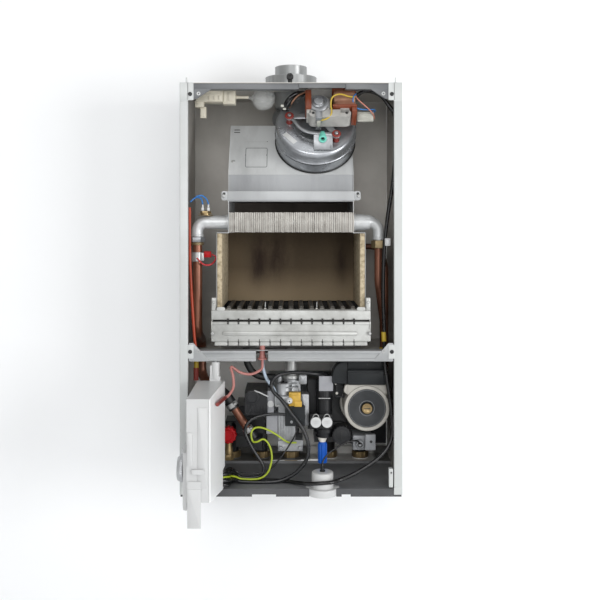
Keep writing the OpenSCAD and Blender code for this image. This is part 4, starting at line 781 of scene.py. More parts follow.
VALVE_LEAD = [[-11, -204, 136], [-30, -205, 137], [-50, -206, 135], [-68, -208, 130], [-80, -210, 120],
    [-84, -211, 107], [-80, -211, 94], [-72, -211, 78], [-62, -210, 62], [-52, -209, 46], [-50, -208, 34],
    [-60, -206.5, 22.5], [-90, -206.5, 21.5], [-100, -210, 29], [-108, -222, 35.5], [-111, -236, 37],
    [-116, -247, 39.5], [-126, -253, 40]]
SENSOR_LEAD = [[13, -202, 117], [7, -205, 97], [-2, -206, 82], [-13, -209, 66], [-24, -211, 52],
    [-35, -211, 40], [-48, -209, 32], [-70, -209, 28], [-94, -212, 31], [-104, -216, 38], [-108, -224, 41],
    [-112, -238, 43], [-117, -247, 45], [-126, -252, 45.5]]
EARTH = [[10, -196, 82], [-6, -200, 84], [-24, -204, 97], [-42, -206, 108], [-58, -207, 113],
    [-69, -207, 110], [-73, -208, 100], [-70, -209, 88], [-62, -213, 88], [-50, -214, 93], [-40, -214, 83],
    [-35, -214, 64], [-37, -214, 46], [-44, -213.5, 30], [-60, -213, 20.5], [-90, -213, 20.5],
    [-100, -216.5, 25], [-108, -226, 29.3], [-111.5, -237, 31.5], [-117, -247, 34], [-126, -252, 34.5]]
FAN_LEAD = [[121, -204, 722], [134, -208, 729], [150, -212, 727], [166, -214, 718], [178, -215, 702],
    [189, -215, 682], [190, -215, 620], [186, -212, 560], [177, -210, 500], [171, -208, 440],
    [169, -207, 360], [171, -207, 290], [172, -208, 230], [180, -214, 170], [185, -220, 120],
    [180, -224, 90], [162, -228, 66], [134, -230, 46], [108, -232, 32], [88, -237, 26], [73, -247, 24.5],
    [57, -250.5, 24], [41, -247, 22], [26, -236, 19], [8, -220, 16], [-12, -206, 14.5], [-30, -203, 14.5],
    [-88, -203, 14.5], [-104, -207, 15], [-112, -222, 15.5], [-113, -236, 17], [-116, -246, 20.3],
    [-127, -252, 21]]
ORANGE_TUBE = [[-185, -216, 516], [-185, -215, 470], [-185, -212, 430], [-184, -210, 395],
    [-181, -209, 340], [-177, -208, 280], [-174, -205, 247], [-174, -203, 200]]
BLUE_WIRE = [[-163, -195, 522.6], [-166, -200, 533], [-175, -208, 534], [-184, -214, 526]]
BLUE_BRANCH = [[-152.5, -195, 522.6], [-156, -200, 532], [-164, -206, 538], [-174, -210, 536]]
CLIP_WIRE = [[-146, -198, 430], [-138, -200, 424], [-146, -206, 412], [-160, -211, 412], [-172, -214, 424]]


def size(name):
    """One of the user's sizes in millimetres."""
    return round(getattr(bpy.context.scene.boiler_sizes, name) / MM, 4)


def lead(points, diameter, n=12, step=2.5):
    """A round cable: a circle carried along the curve through its route."""
    return tube(smooth_path(points, step), diameter / 2, n)


def across_hinge(obj):
    """A cable that goes from the cabinet into the swung control box: its placement is baked into its mesh.
    """
    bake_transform(obj)


def draw_cables():
    thin = size("sensor_wires")
    grey = make("control_leads", [([lead(PUMP_LEAD, size("pump_lead")),
                    lead(VALVE_LEAD, size("valve_lead"))], "grey_cable"),
            (lead(SENSOR_LEAD, size("sensor_lead")), "black_cable")], body=None, replaces="grey_cables")
    across_hinge(grey)
    earth = make("earth_lead", [(lead(EARTH, size("earth_wire")), "green_wire")], body=None,
        replaces="earth_wire")
    across_hinge(earth)
    fan = make("fan_lead", [(lead(FAN_LEAD, size("fan_lead")), "black_cable")], body=None,
        replaces="fan_cable")
    across_hinge(fan)
    ignition = make("ignition_cable", [(lead(IGNITION, size("ignition_lead")), "red_silicone"),
            (tube(PLUG, [3.5, 3.3], 16), "dark_red_rubber")], body=None, replaces="ignition_lead")
    across_hinge(ignition)
    make("thin_lines", [(lead(IMPULSE, size("impulse_tube")), "clear_tube"),
            (lead(CAPILLARY, size("capillary")), "black_cable")], replaces="thin_tubes")
    make("left_wires", [(lead(ORANGE_TUBE, size("orange_tube")), "orange_tube"),
            ([lead(BLUE_WIRE, thin), lead(BLUE_BRANCH, thin)], "blue_wire"),
            (lead(CLIP_WIRE, thin), "red_wire"), (tube([[-174, -203, 236], [-174, -203, 222]], 4.2, 16),
                "yellow_wire"), (tube([[-174.5, -204, 222], [-174.5, -203.5, 199]], 4.8, 16),
                "maroon_rubber")], replaces="sensor_wires")


class BOILER_OT_cables(bpy.types.Operator):
    """Pump, valve, sensor, earth and fan leads, thin tubes and the ignition lead"""
    bl_idname = "boiler.cables"
    bl_label = "Cables and tubes"

    def execute(self, context):
        draw_cables()
        return {"FINISHED"}


# Cabinet

CAB_X, CAB_Y, CAB_Z = 200.0, 240.0, 740.0
FLANGE_X, MEMBER_X, MEMBER_Y = 185.0, 183.5, -238.8
TOP_SCREW, CROSS_SCREW, SCREW_X = 719.0, 256.5, 181.0


def mirrored(shapes):
    """The same shapes on the other side of the middle plane."""
    return [(p * [-1, 1, 1], [q[::-1] for q in f]) for p, f in shapes]


def repaint(obj, material, chosen):
    """Gives a second finish to the faces that chosen(centres, normals), in mm, picks."""
    mesh = obj.data
    n = len(mesh.polygons)
    centre, normal = np.empty(n * 3, np.float32), np.empty(n * 3, np.float32)
    mesh.polygons.foreach_get("center", centre)
    mesh.polygons.foreach_get("normal", normal)
    index = np.empty(n, np.int32)
    mesh.polygons.foreach_get("material_index", index)
    if dressed(material) not in list(mesh.materials):
        mesh.materials.append(dressed(material))
    at_slot = list(mesh.materials).index(dressed(material))
    index[chosen(centre.reshape(-1, 3) / MM, normal.reshape(-1, 3))] = at_slot
    mesh.polygons.foreach_set("material_index", index)


def eased(name, node_name, material, width=0.4, body="cabinet", angle=35, clamp=False):
    """A copy of a CAD node with its corners merged, its flat faces joined and its edges
    rounded by a bevel."""
    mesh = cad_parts[node_name].data.copy()
    mesh.name = name
    mesh.materials.clear()
    mesh.materials.append(dressed(material))
    bm = bmesh.new()
    bm.from_mesh(mesh)
    bmesh.ops.remove_doubles(bm, verts=bm.verts, dist=3e-6)
    bmesh.ops.dissolve_limit(bm, angle_limit=math.radians(0.6), verts=bm.verts, edges=bm.edges)
    bm.to_mesh(mesh)
    bm.free()
    mesh.polygons.foreach_set("use_smooth", np.ones(len(mesh.polygons), bool))
    mesh.polygons.foreach_set("material_index", np.zeros(len(mesh.polygons), np.int32))
    mesh.set_sharp_from_angle(angle=math.radians(angle))
    obj = bpy.data.objects.new(name, mesh)
    bpy.context.scene.collection.objects.link(obj)
    b = obj.modifiers.new("edge", "BEVEL")
    b.width, b.segments, b.limit_method = width * MM, 2, "ANGLE"
    b.angle_limit, b.use_clamp_overlap = math.radians(angle), clamp
    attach(obj, body)
    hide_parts(node_name)
    return obj


def side_panel():
    """Left side panel: the section of the folded sheet, wall, front flange and hem, carried
    up the cabinet, with two screw tabs and a lug on top."""
    sheet = size("sheet")
    fold = soft_line([(-CAB_X, -0.1), (-CAB_X, -CAB_Y), (-FLANGE_X, -CAB_Y), (-FLANGE_X, -CAB_Y + 8)], 1.4)
    flat = soft_line([(-CAB_X, -0.1), (-CAB_X, -CAB_Y), (-FLANGE_X, -CAB_Y)], 1.4)
    shapes = [flat_plate(strip(flat, sheet), 0, 13, 0.2), flat_plate(strip(fold, sheet), 13, 706, 0.2),
        flat_plate(strip(flat, sheet), 706, CAB_Z, 0.2)]
    for z0, z1 in ((708, CAB_Z), (244, 269)):
        shapes.append(front_plate(rect(-FLANGE_X - 1, z0, -FLANGE_X + 10, z1, 1.2), -CAB_Y, -CAB_Y + sheet,
                0.25))
    shapes.append(front_plate(rect(-189, 739, -186, 749, 0.8), -CAB_Y, -CAB_Y + sheet, 0.25))
    return shapes


def gusset(inner, far, near):
    """Outline of a member's left corner plate in X and Z."""
    return fillet([(-MEMBER_X, near), (-inner, near), (-inner - 28, far), (-MEMBER_X, far)], 2.0)


def channel(x0, x1, line, t):
    """A folded channel: the line in Y and Z, given the sheet's thickness, carried along X."""
    return side_plate(strip(soft_line(line, 1.0), t), x0, x1, 0.15)


def pan_head(x, y, z, r, h=2.2):
    """A domed screw head facing forwards, sunk in the middle where the driver goes."""
    return [at(lathe([(0, 0), (r, 0), (r, h * 0.4), (r * 0.93, h * 0.65), (r * 0.74, h * 0.88),
                    (r * 0.42, h), (r * 0.3, h * 0.98), (0, h * 0.5)], 28), facing(x, y, z))]


def cross_members():
    """The top and the middle member with their corner plates, and the screws."""
    y, deep, sheet = MEMBER_Y, 15, size("sheet")
    top = [channel(a, b, [(y + deep, 727.5), (y, 727.5), (y, 738.5), (y + deep, 738.5)][::-1], sheet)
        for a, b in ((-MEMBER_X, 14), (98, MEMBER_X))]
    top.append(channel(13, 99, [(y, 730.2), (y, 738.5), (y + deep, 738.5)][::-1], sheet))
    plates = [front_plate(gusset(142, 710, 728.5), y, y + sheet, 0.25)]
    make("top_member", [(top + plates + mirrored(plates), "bar_steel")],
        replaces="top_bar")
    z0, z1, deep = 239, 258, 25
    rib = [(y + deep, z1), (y, z1), (y, z1 - 4.6), (y + 1.3, z1 - 6.2), (y + 1.3, z0 + 6.2), (y, z0 + 4.6),
        (y, z0), (y + deep, z0)]
    bars = [channel(-MEMBER_X, -63, rib, sheet), channel(-41, MEMBER_X, rib, sheet)]
    back = [slab((-64, y + 8, z1 - sheet), (-40, y + deep, z1), 0.2)]
    plates = [front_plate(gusset(147, z1 + 14, z0), y - 0.1, y + sheet, 0.25)]
    pins = [at(disc(3, 0, 14.6, 0.5), upward(-136, -234, 225))]
    make("middle_member", [(bars + back + plates + mirrored(plates) + pins, "cross_steel")],
        replaces="cross_bar")
    heads = []
    for s in (-1, 1):
        for z in (TOP_SCREW, CROSS_SCREW):
            heads += pan_head(s * SCREW_X, -CAB_Y, z, size("screw_head") / 2)
    bright = []
    for s in (-1, 1):
        bright += pan_head(s * 123, -215, 537, 3.0)
        bright += pan_head(s * 142, -231, 288, 3.2)
        bright += [at(ring(1.6, 3.4, 0, 0.8), facing(s * 166, y, z)) for z in (720, 257)]
    make("panel_screws", [(heads, "black_steel"), (bright, "galvanised_steel")], replaces="screws")


def bottom_tray():
    """The bottom tray, darker on its front edge."""
    tray = eased("service_tray", "bottom_tray", "tray_enamel", 0.5, clamp=True)
    repaint(tray, "tray_edge", lambda c, n: (n[:, 1] < -0.5) & (c[:, 1] < -230))


def draw_cabinet():
    inside = lambda c, n: (abs(n[:, 0]) > 0.7) & (abs(c[:, 0]) < 199.6) & (c[:, 1] > -231)
    left = make("side_wall_left", [(side_panel(), "white_enamel")], replaces="side_panel_left")
    repaint(left, "grey_sheet", inside)
    right = make("side_wall_right", [(mirrored(side_panel()), "white_enamel")], replaces="side_panel_right")
    repaint(right, "grey_sheet", inside)
    cross_members()
    bottom_tray()


class BOILER_OT_cabinet(bpy.types.Operator):
    """Folded side panels, the tray, the two cross members and their screws"""
    bl_idname = "boiler.cabinet"
    bl_label = "Cabinet"

    def execute(self, context):
        draw_cabinet()
        return {"FINISHED"}


# Flue and the upper compartment

FLUE_Y = -100.0
SLOPE = math.radians(34)
SLOPE_FOOT = (0.0, -190.0, 577.0)
FAN_RISE = 84
FAN_CENTRE = (50.0, SLOPE_FOOT[1] + FAN_RISE * math.sin(SLOPE), SLOPE_FOOT[2] + FAN_RISE * math.cos(SLOPE))
UP_SLOPE = (0.0, math.sin(SLOPE), math.cos(SLOPE))
OFF_SLOPE = (0.0, -math.cos(SLOPE), math.sin(SLOPE))
HOOD = basis(SLOPE_FOOT, (1, 0, 0), UP_SLOPE, OFF_SLOPE)
FAN = basis(FAN_CENTRE, (1, 0, 0), UP_SLOPE, OFF_SLOPE)
# Lower end of the nipple bracket's foot
FOOT = (FAN @ [7, -69, 56.5, 1])[:3]


def on_fan(shape, u=0.0, v=0.0, w=0.0):
    """A shape standing on the fan's own frame, moved along it first."""
    p, f = shape
    return at((p + [u, v, w], f), FAN)


def wall_pipe(r, t, z0, z1, roll=0.0, n=64):
    """A sheet pipe of outer radius r and wall t whose upper rim may be rolled outwards: the
    section goes up outside, round the rim on a half circle and down inside."""
    rim = arc(r - t / 2, z1 - t / 2, t / 2 + roll, 0, 180, 7)
    section = np.concatenate([[(r, z0)], [(r, z1 - roll - t)], rim, [(r - t, z0)]])
    return revolve(section, n, closed=True)


def draw_flue():
    place = upward(0, FLUE_Y, 0)
    parts = [at(wall_pipe(50, 1, 740.1, 771.6, 0.35), place), at(wall_pipe(31, 1, 712, 792.6, 0.3), place),
        at(ring(49.2, 62, 740.02, 741.5, 0.5, 64), place), at(ring(49.9, 50.9, 744, 746.5, 0.5, 64), place)]
    for turn in (30, 150, 270):
        c, s = math.cos(math.radians(turn)), math.sin(math.radians(turn))
        spoke = basis((0, FLUE_Y, 744), (c, s, 0), (-s, c, 0), (0, 0, 1))
        parts.append(at(slab((30.5, -0.75, 0), (49.5, 0.75, 14), 0.3), spoke))
    make("flue_pipes", [(parts, "flue_grey")], replaces="flue_adapter")
    stem = [at(disc(4, 0, 19, 0.8, 24), upward(-2, -161, 741.8))]
    collar = [at(ring(1.5, 6.2, 0, 3, 0.9, 32), upward(-2, -161, 741.9))]
    head = [at(lathe([(2, 3), (2.4, 0.4), (5.4, 0), (6.4, 1), (6.6, 2.5), (6.6, 9.5), (6, 10.8), (0, 11)],
                36), basis((-2, -167, 764), (1, 0, 0), (0, 0, -1), (0, 1, 0)))]
    cup = [at(disc(2.1, 0, 0.5, 0.1, 20), facing(-2, -163.8, 764))]
    mounts = []
    for u, v in ARM_ENDS:
        mounts.append(on_fan(lathe([(5.4, 55.2), (6, 56), (5.2, 58), (5.2, 62), (6, 64.5), (6, 67),
                        (5.2, 68.8), (0, 68.8)], 32), u, v))
        mounts.append(on_fan(ring(3.2, 8.2, 71.6, 75.4, 1.2, 32), u, v))
    grommet = [at(lathe([(2.8, 0), (8.4, 0), (9, 0.8), (9, 2.2), (8.2, 3), (6.2, 3.4), (5.6, 8), (4.6, 8)],
                32), upward(-52, -222, 240)), tube([[-52, -222, 247.5], [-52, -222, 270]], 4.85, 24)]
    hose = bent_path([(-149.8, -150.3, 179.9), (-138, -165.6, 174.8), (-121.7, -187, 168.3),
            (-105.2, -187, 143.3)], 12, 8)
    hoses = [tube(hose, 10.5, 28)]
    siphon = smooth_path([(-84, -168, 257), (-84, -168, 236), (-80, -168, 220), (-70, -168, 206),
            (-54, -168, 199), (-29.3, -168, 198)], 3)
    hoses.append(tube(siphon, 6.5, 20))
    rings = []
    for x, y, bore in ((-174, -205, 3.0), (172, -208, 4.0)):
        rings.append(at(lathe([(bore, -2), (5.6, -2), (5.8, -1), (5.0, -0.2), (5.0, 1.4), (5.8, 2.2),
                        (5.2, 3), (bore, 3)], 24), upward(x, y, 247)))
    make("rubber_pieces", [(stem + collar + head + hoses + rings, "black_rubber"), (cup, "black_steel"),
            (mounts, "maroon_rubber"), (grommet, "red_silicone")], replaces="rubber_parts")


class BOILER_OT_flue(bpy.types.Operator):
    """Air collar and inner flue pipe, and the rubber plugs, grommets and hoses"""
    bl_idname = "boiler.flue"
    bl_label = "Flue adapter"

    def execute(self, context):
        draw_flue()
        return {"FINISHED"}


def draw_pressure_switch():
    body = [slab((-174, -212, 709.5), (-125, -178, 733), 1.4, along="y"),
        slab((-172, -213, 721), (-127, -211, 723), 0.5), slab((-160, -213.2, 727), (-130, -211, 731), 0.6),
        slab((-125.5, -208, 706), (-102, -182, 733), 1.2, along="y"),
        slab((-123, -209.5, 709), (-119, -207, 730), 0.5),
        slab((-115, -209.5, 711), (-106, -207, 728), 0.8),
        slab((-176, -209, 700), (-160, -186, 712), 1.0, along="y"),
        slab((-167, -203, 681), (-156, -192, 701), 0.9),
        slab((-165.5, -204, 683), (-157.5, -202, 698), 0.5),
        slab((-160, -195, 732.5), (-118, -178, 738.8), 0.5)]
    for x in (-150, -141, -132):
        body.append(slab((x, -214, 712), (x + 1.6, -211, 720), 0.4))
    body.append(at(lathe([(3, 0), (3.6, 0.4), (3.6, 3), (2.8, 4), (2.8, 20), (3.2, 21), (3.0, 24)], 24),
            rightward(-102.5, -195, 720)))
    make("air_switch", [(body, "cream_plastic")], replaces="pressure_switch")
    bulb = lathe([(15.8, -11.6), (17.6, -12), (18, -9), (18, -1), (19, 0.4), (21.3, 1), (21.4, 3.4),
            (20.2, 4.4), (18.6, 7.6), (15.5, 10), (11, 10.9), (0, 11), (0, 9.6), (10.5, 9.4), (14.6, 8.6),
            (17.4, 6.2), (18.6, 3), (16.2, 0.6), (16.2, -9)], 56)
    spout = tube([[-78.4, -195, 719], [-72, -195, 718.4], [-66, -195, 718]], [3.1, 4.2, 6.5], 24)
    make("condensate_bulb", [([at(bulb, facing(-51, -195, 717)), spout], "clear_dome")],
        replaces="switch_dome")


class BOILER_OT_pressure_switch(bpy.types.Operator):
    """Cream air pressure switch, its bracket and the clear condensate bulb"""
    bl_idname = "boiler.pressure_switch"
    bl_label = "Air pressure switch"

    def execute(self, context):
        draw_pressure_switch()
        return {"FINISHED"}


def up_slope(z):
    """Distance up the slope from its foot to a point at height z."""
    return (z - SLOPE_FOOT[2]) / math.cos(SLOPE)


def slope_frame(x0, y0, x1, y1, r=0.55):
    """A pressed outline on the slope: a thin round ridge carried round a rounded rectangle."""
    o = rect(x0, y0, x1, y1, 2.5, 5)
    o = np.concatenate([o, o[:2]])
    return at(tube(np.column_stack([o, np.zeros(len(o))]), r, 8, caps=False), HOOD)


def draw_hood():
    rise = 99
    top_y = SLOPE_FOOT[1] + rise * math.tan(SLOPE)
    top_z = SLOPE_FOOT[2] + rise
    shell = fillet([(-215, 528), (-215, 545), (-190, 545), (-190, 577), (top_y, top_z), (-60, top_z),
            (-60, 528)], 0.9, 3)
    parts = [side_plate(shell, -116, 116, 0.5, 2)]
    lip = channel(-115, 115, [(-190.6, 546), (-216.0, 546.0), (-216.0, 529.5), (-213.5, 526.8)], 0.8)
    for s in (-1, 1):
        edge = strip([(-190.3, 546.5), (-190.3, 577.2), (top_y - 0.5, top_z - 0.4)], 0.9)
        parts.append(side_plate(edge, s * 115.6 - 0.7, s * 115.6 + 0.5, 0.25))
    ears = []
    for s in (-1, 1):
        o = fillet([(s * 121 - 6, 529), (s * 121 + 6, 529), (s * 121 + 6, 546), (s * 121 - 6, 546)], 4.5, 5)
        ears.append(front_plate(o, -215, -213.5, 0.3))
    # Painted shade: the pressed outline's thin ridge is a dark grey.
    marks = [slope_frame(-85.3, up_slope(592.1), -45, up_slope(629.8), 0.5)]
    lines = [at(slab((-85, up_slope(642.3), -0.2), (-45.5, up_slope(642.3) + 0.5, 0.25), 0.1), HOOD)]
    # Painted shade: thin black discs and bars stand for the holes and slots in the hood.
    holes = []
    for x, z in ((-85.9, 615.9), (-46, 615.9), (-45.2, 643)):
        holes.append(at(disc(0.9, 0, 0.12, 0.02, 16), HOOD @ upward(x, up_slope(z), 0)))
    for z in (667, 662):
        holes.append(at(slab((-109, up_slope(z) - 0.9, 0), (-97.9, up_slope(z) + 0.9, 0.12), 0.04), HOOD))
    for s in (-1, 1):
        holes.append(at(disc(2.6, 0, 0.3, 0.1, 20), facing(s * 122, -215.2, 541)))
    screw = [at(lathe([(0, 0), (3.4, 0), (3.4, 1.2), (2.6, 2.1), (1.2, 2.4), (0, 2.0)], 24),
            HOOD @ upward(-108.3, up_slope(602.7), 0))]
    # Painted shade on the lip and ears, in a darker copy of the hood's steel.
    hood = make("smoke_hood", [(parts, "hood_steel"), ([lip] + ears, "lip_steel"),
            (screw, "galvanised_steel"), (marks, "pressed_line"), (lines, "galvanised_steel"),
            (holes, "black_steel")], replaces="flue_hood")
    # Painted shade: the hood's upright front band gets a darker copy of its steel.
    repaint(hood, "band_steel", lambda c, n: (n[:, 1] < -0.95) & (c[:, 2] > 546.6) & (c[:, 2] < 577))


class BOILER_OT_hood(bpy.types.Operator):
    """Folded flue hood with its front lip, pressed outlines and side ears"""
    bl_idname = "boiler.hood"
    bl_label = "Flue hood"

    def execute(self, context):
        draw_hood()
        return {"FINISHED"}


# Fan: radii and heights above the slope, in the fan's own frame

VOLUTE = (-4.0, -6.0)


def housing_shell():
    """The pressed housing: a foot ring, the lower drum, the rolled seam and the upper drum
    with its round shoulder and a shallow step in its lid."""
    shoulder = arc(66.5, 45.6, 8.6, 4, 78, 9)
    profile = np.concatenate([[(60, 0.3), (74.5, 0.3), (74.8, 1.6), (74.3, 25.6), (75.6, 26.6)],
            arc(75.2, 28.2, 1.3, -60, 80, 6), [(74.9, 30.2), (75.2, 45.6)], shoulder,
            [(56, 54.6), (40, 54.7), (38.6, 53.6), (20, 53.4), (0, 53.4)]])
    return on_fan(lathe(profile, 96), *VOLUTE)


ARM_ENDS = ((-53, -4), (32, -47))
STACK_LOW, STACK_HIGH = 73.0, 101.0
LAMINATIONS, COIL_TURNS = 28, 17


def fan_housing():
    """The fan's housing with its outlet, clips, seals and blank label."""
    spout_low = np.array(on_fan((np.array([[-46.0, 38.0, 26.0]]), []))[0][0])
    spout = smooth_path([spout_low + [6, -6, -18], spout_low, (-14, -108, 690), (0, -100, 702),
            (0, -100, 722)], 3)
    radii = np.interp(np.linspace(0, 1, len(spout)), [0, 0.35, 0.7, 0.8, 1], [15, 17, 25, 29, 29.4])
    parts = [housing_shell()]
    neck = [tube(spout, radii, 48)]
    seats = [on_fan(lathe([(8.4, 53), (8, 55.2), (3, 55.6), (0, 55.6)], 28), u, v) for u, v in ARM_ENDS]
    clips = []
    for angle in (-141, -33, 60, 165):
        c, s = math.cos(math.radians(angle)), math.sin(math.radians(angle))
        place = FAN @ basis((VOLUTE[0] + 74.6 * c, VOLUTE[1] + 74.6 * s, 28), (-s, c, 0), (0, 0, 1),
            (c, s, 0))
        clips.append(at(slab((-4.5, -7, -1), (4.5, 7, 1.6), 0.7), place))
        clips.append(at(slab((-3, -3, 1), (3, 3, 3.2), 0.8), place))
        clips.append(at(disc(1.5, 3, 3.8, 0.3, 16), place))
    seal = [on_fan(ring(72, 76.5, 0.3, 3.4, 1.0, 80), *VOLUTE),
        on_fan(ring(74.0, 75.3, 24.2, 25.4, 0.4, 80), *VOLUTE)]
    for z, r in ((697, 27.5), (684, 21.5)):
        seal.append(at(ring(r - 1.5, r + 1.2, -0.9, 0.9, 0.6, 56),
                basis((-5 + (z - 697) * 0.6, -103 - (697 - z) * 0.35, z), (1, 0, 0), (0, 0.94, -0.34),
                    (0, 0.34, 0.94))))
    tag = basis((-52, -41.5, 54.75), (0.677, -0.736, 0), (0.736, 0.677, 0), (0, 0, 1))
    label = [on_fan(at(slab((-15, -5, 0), (15, 5, 0.25), 0.1), tag))]
    make("fan_shell", [(parts + seats, "cast_aluminium"), (clips + neck, "cast_bright"),
            (seal, "black_rubber"), (label, "white_plastic")], replaces="fan_housing")


def fan_motor():
    """The motor's laminations and its coil."""
    stack = []
    step = (STACK_HIGH - STACK_LOW) / LAMINATIONS
    for k in range(LAMINATIONS):
        w0 = STACK_LOW + k * step
        for o in (stadium(20, -21.5, 76, 17), stadium(20, 38.5, 76, 8)):
            stack.append(on_fan(flat_plate(o, w0 + 0.06, w0 + step - 0.06, 0.12, 1)))
        for x0, x1 in ((-22, -13.6), (39, 55)):
            stack.append(on_fan(slab((x0, -21, w0 + 0.06), (x1, 37, w0 + step - 0.06), 0.1)))
    pole = ring(13.6, 21.8, STACK_LOW, STACK_HIGH, 0.3, 48)
    rivets = [on_fan(lathe([(2.6, 101), (2.6, 101.6), (1.6, 102.4), (0, 102.5)], 16), x, -21.5)
        for x in (-10, 50)]
    make("motor_stack", [(stack + [on_fan(pole)], "lamination_steel"), (rivets, "black_steel")],
        replaces="fan_stator")
    cx, cy = 47, 12
    flanges = [on_fan(slab((cx - 22, cy + v, 63), (cx + 22, cy + v + 4, 108), 1.2, along="y"))
        for v in (-22, 18)]
    flanges.append(on_fan(slab((cx + 12.5, cy - 33, 66), (cx + 21.8, cy - 18, 105), 1.0)))
    flanges.append(on_fan(slab((-24, -13, 76), (-13, 30, 107), 1.2)))
    turns = []
    for k in range(COIL_TURNS):
        v = cy - 17.2 + k * 2.15
        o = rect(cx - 18.4, 65.5, cx + 18.4, 105.5, 6, 5)
        p = np.column_stack([o[:, 0], np.full(len(o), v), o[:, 1]])
        p = np.concatenate([p, p[:2]])
        turns.append(on_fan(tube(p, 1.18, 8, caps=False)))
    core = [on_fan(slab((cx - 18.4, cy - 18, 66), (cx + 18.4, cy + 18, 105), 3, along="y"))]
    wrap = [on_fan(slab((cx - 19.4, cy - 10, 68), (cx + 19.4, cy + 12, 106.6), 2.5, along="y"))]
    make("motor_coil", [(flanges, "bobbin_brown"), (turns + core, "coil_wrap"), (wrap, "coil_paper")],
        replaces="fan_coil")


def fan_brackets():
    """The bearing strap, the two arms, the nipple's bracket and the motor's wires."""
    top = STACK_HIGH + 0.4
    parts = [on_fan(lathe([(19, top), (19, top + 2.4), (18.2, top + 3.4), (15.4, top + 3.8),
                    (14.8, top + 2.6), (12.6, top + 2.6), (12, top + 4.2), (10, top + 5), (9, top + 6),
                    (9, top + 8), (8, top + 8.9), (5.6, top + 9), (5.2, top + 8), (2.2, top + 8)], 48)),
        on_fan(slab((-6, -33.6, top), (6, -6, top + 1.8), 0.6)),
        on_fan(slab((-5.6, -34, 88), (5.6, -31, top + 1.6), 0.6)),
        on_fan(slab((-3, -34, 69.2), (3, -31.4, 90), 0.6)), on_fan(slab((-5, -34, 69), (5, -22, 71), 0.6))]
    for u in (-20.5, 15):
        parts.append(on_fan(slab((u, -9, top - 0.3), (u + 5, 9, top + 2), 0.8)))
    for p in ARM_ENDS:
        path = smooth_path([(0, 0, 70.5), (p[0] * 0.5, p[1] * 0.5, 70.5), (p[0], p[1], 70.5)], 2)
        w = np.interp(np.linspace(0, 1, len(path)), [0, 0.3, 0.75, 1], [12, 7, 6, 7])
        q, f = tube(path, w, 20)
        q[:, 2] = np.clip(70.5 + (q[:, 2] - 70.5) * 0.3, 69.1, 72.0)
        parts.append(on_fan((q, f)))
        parts.append(on_fan(ring(3.1, 7.9, 69, 71.9, 0.5, 32), p[0], p[1]))
        parts.append(on_fan(lathe([(3.6, 75.2), (3.6, 76.4), (2.4, 77.6), (0, 77.8)], 24), p[0], p[1]))
    sweep = smooth_path([(-53, -4, 71), (-44, -14, 71), (-35, -29, 71), (-22, -39, 71), (-6, -43, 71),
            (10, -44, 71), (32, -47, 71)], 3)
    q, f = tube(sweep, 3.6, 16)
    q[:, 2] = 71 + (q[:, 2] - 71) * 0.45
    parts.append(on_fan((q, f)))
    fx, fy, fz = FOOT
    angle = [slab((fx - 16, fy - 0.8, fz - 0.9), (fx + 18.2, fy + 0.7, fz + 26.4), 0.5),
        on_fan(slab((-9, -69, 55.05), (22.9, -52, 56.4), 0.5)),
        on_fan(slab((21.8, -69, 55.05), (23, -55, 62), 0.4))]
    place = basis((fx, fy + 0.25, fz + 24), (1, 0, 0), (0, 0.545, -0.839), (0, -0.839, -0.545))
    nipple = [at(lathe([(4, -9), (5.6, -8.8), (6.3, -7.6), (6.4, 4), (5.8, 5), (5.8, 7.4), (7.2, 8),
                    (7.6, 9), (7.5, 12), (6.8, 13), (4.4, 13), (3.6, 12.2), (3.4, 5), (0, 5)], 40), place)]
    # Painted shade: a black disc stands for the nipple's bore.
    hole = [at(disc(3.4, 4.6, 6.4, 0.1, 24), place)]
    spade = [on_fan(slab((-4, -36.4, 82), (3.4, -33.4, 94), 1.0)),
        on_fan(slab((-2, -35.4, 78), (1.5, -34.0, 83), 0.4)),
        slab((-19, -208, 700), (-13, -205, 705), 1.0), slab((-15, -207.5, 695), (-9, -205.5, 699), 0.8)]
    wires = [tube(smooth_path([(52, -239, 672), (60, -241, 673), (68, -241.5, 677), (73, -241, 686),
                    (71.5, -240.6, 698), (73, -239.6, 711), (79, -238.5, 717), (90, -238, 719),
                    (104, -234, 715.5), (116, -224, 716)], 3), 1.45, 12)]
    blue = [tube(smooth_path([(118, -222, 722), (113, -229, 716), (112, -230, 706), (116, -229, 697),
                    (126, -224, 694), (140, -218, 694), (152, -212, 695), (154, -206, 692),
                    (146, -205, 691)], 3), 1.2, 10)]
    peach = [tube(smooth_path([(117, -224, 718), (122, -228, 710), (133, -226, 701), (144, -220, 692),
                    (151, -213, 684), (153, -206, 679)], 3), 1.2, 10)]
    socket = [slab((121, -212, 673), (151, -200, 691), 1.6, along="y"),
        slab((124, -213, 676), (148, -211, 678), 0.5), slab((124, -213, 685), (148, -211, 687), 0.5)]
    loom = [tube(smooth_path([(-14, -172, 700), (-10, -196, 708), (-4, -205, 716), (6, -204, 724),
                    (20, -198, 728), (40, -190, 729)], 2), 3.4, 14),
        tube(smooth_path([(-8, -170, 698), (-2, -194, 706), (6, -202, 716), (16, -202, 724),
                    (34, -196, 729)], 2), 3.0, 14)]
    sleeves = [tube(smooth_path([(-3, -190, 702), (4, -204, 712), (14, -206, 722), (30, -200, 730)], 2),
            1.6, 10)]
    make("motor_frame", [(parts + angle, "cast_bright"), (nipple, "turquoise"), (hole, "black_rubber"),
            (spade, "clear_white")], replaces="fan_brackets")
    make("motor_wires", [(wires, "yellow_wire"), (blue, "blue_wire"), (peach, "peach_wire"),
            (loom, "black_cable"), (sleeves, "coil_paper"), (socket, "clear_white")])


def draw_fan():
    fan_housing()
    fan_motor()
    fan_brackets()


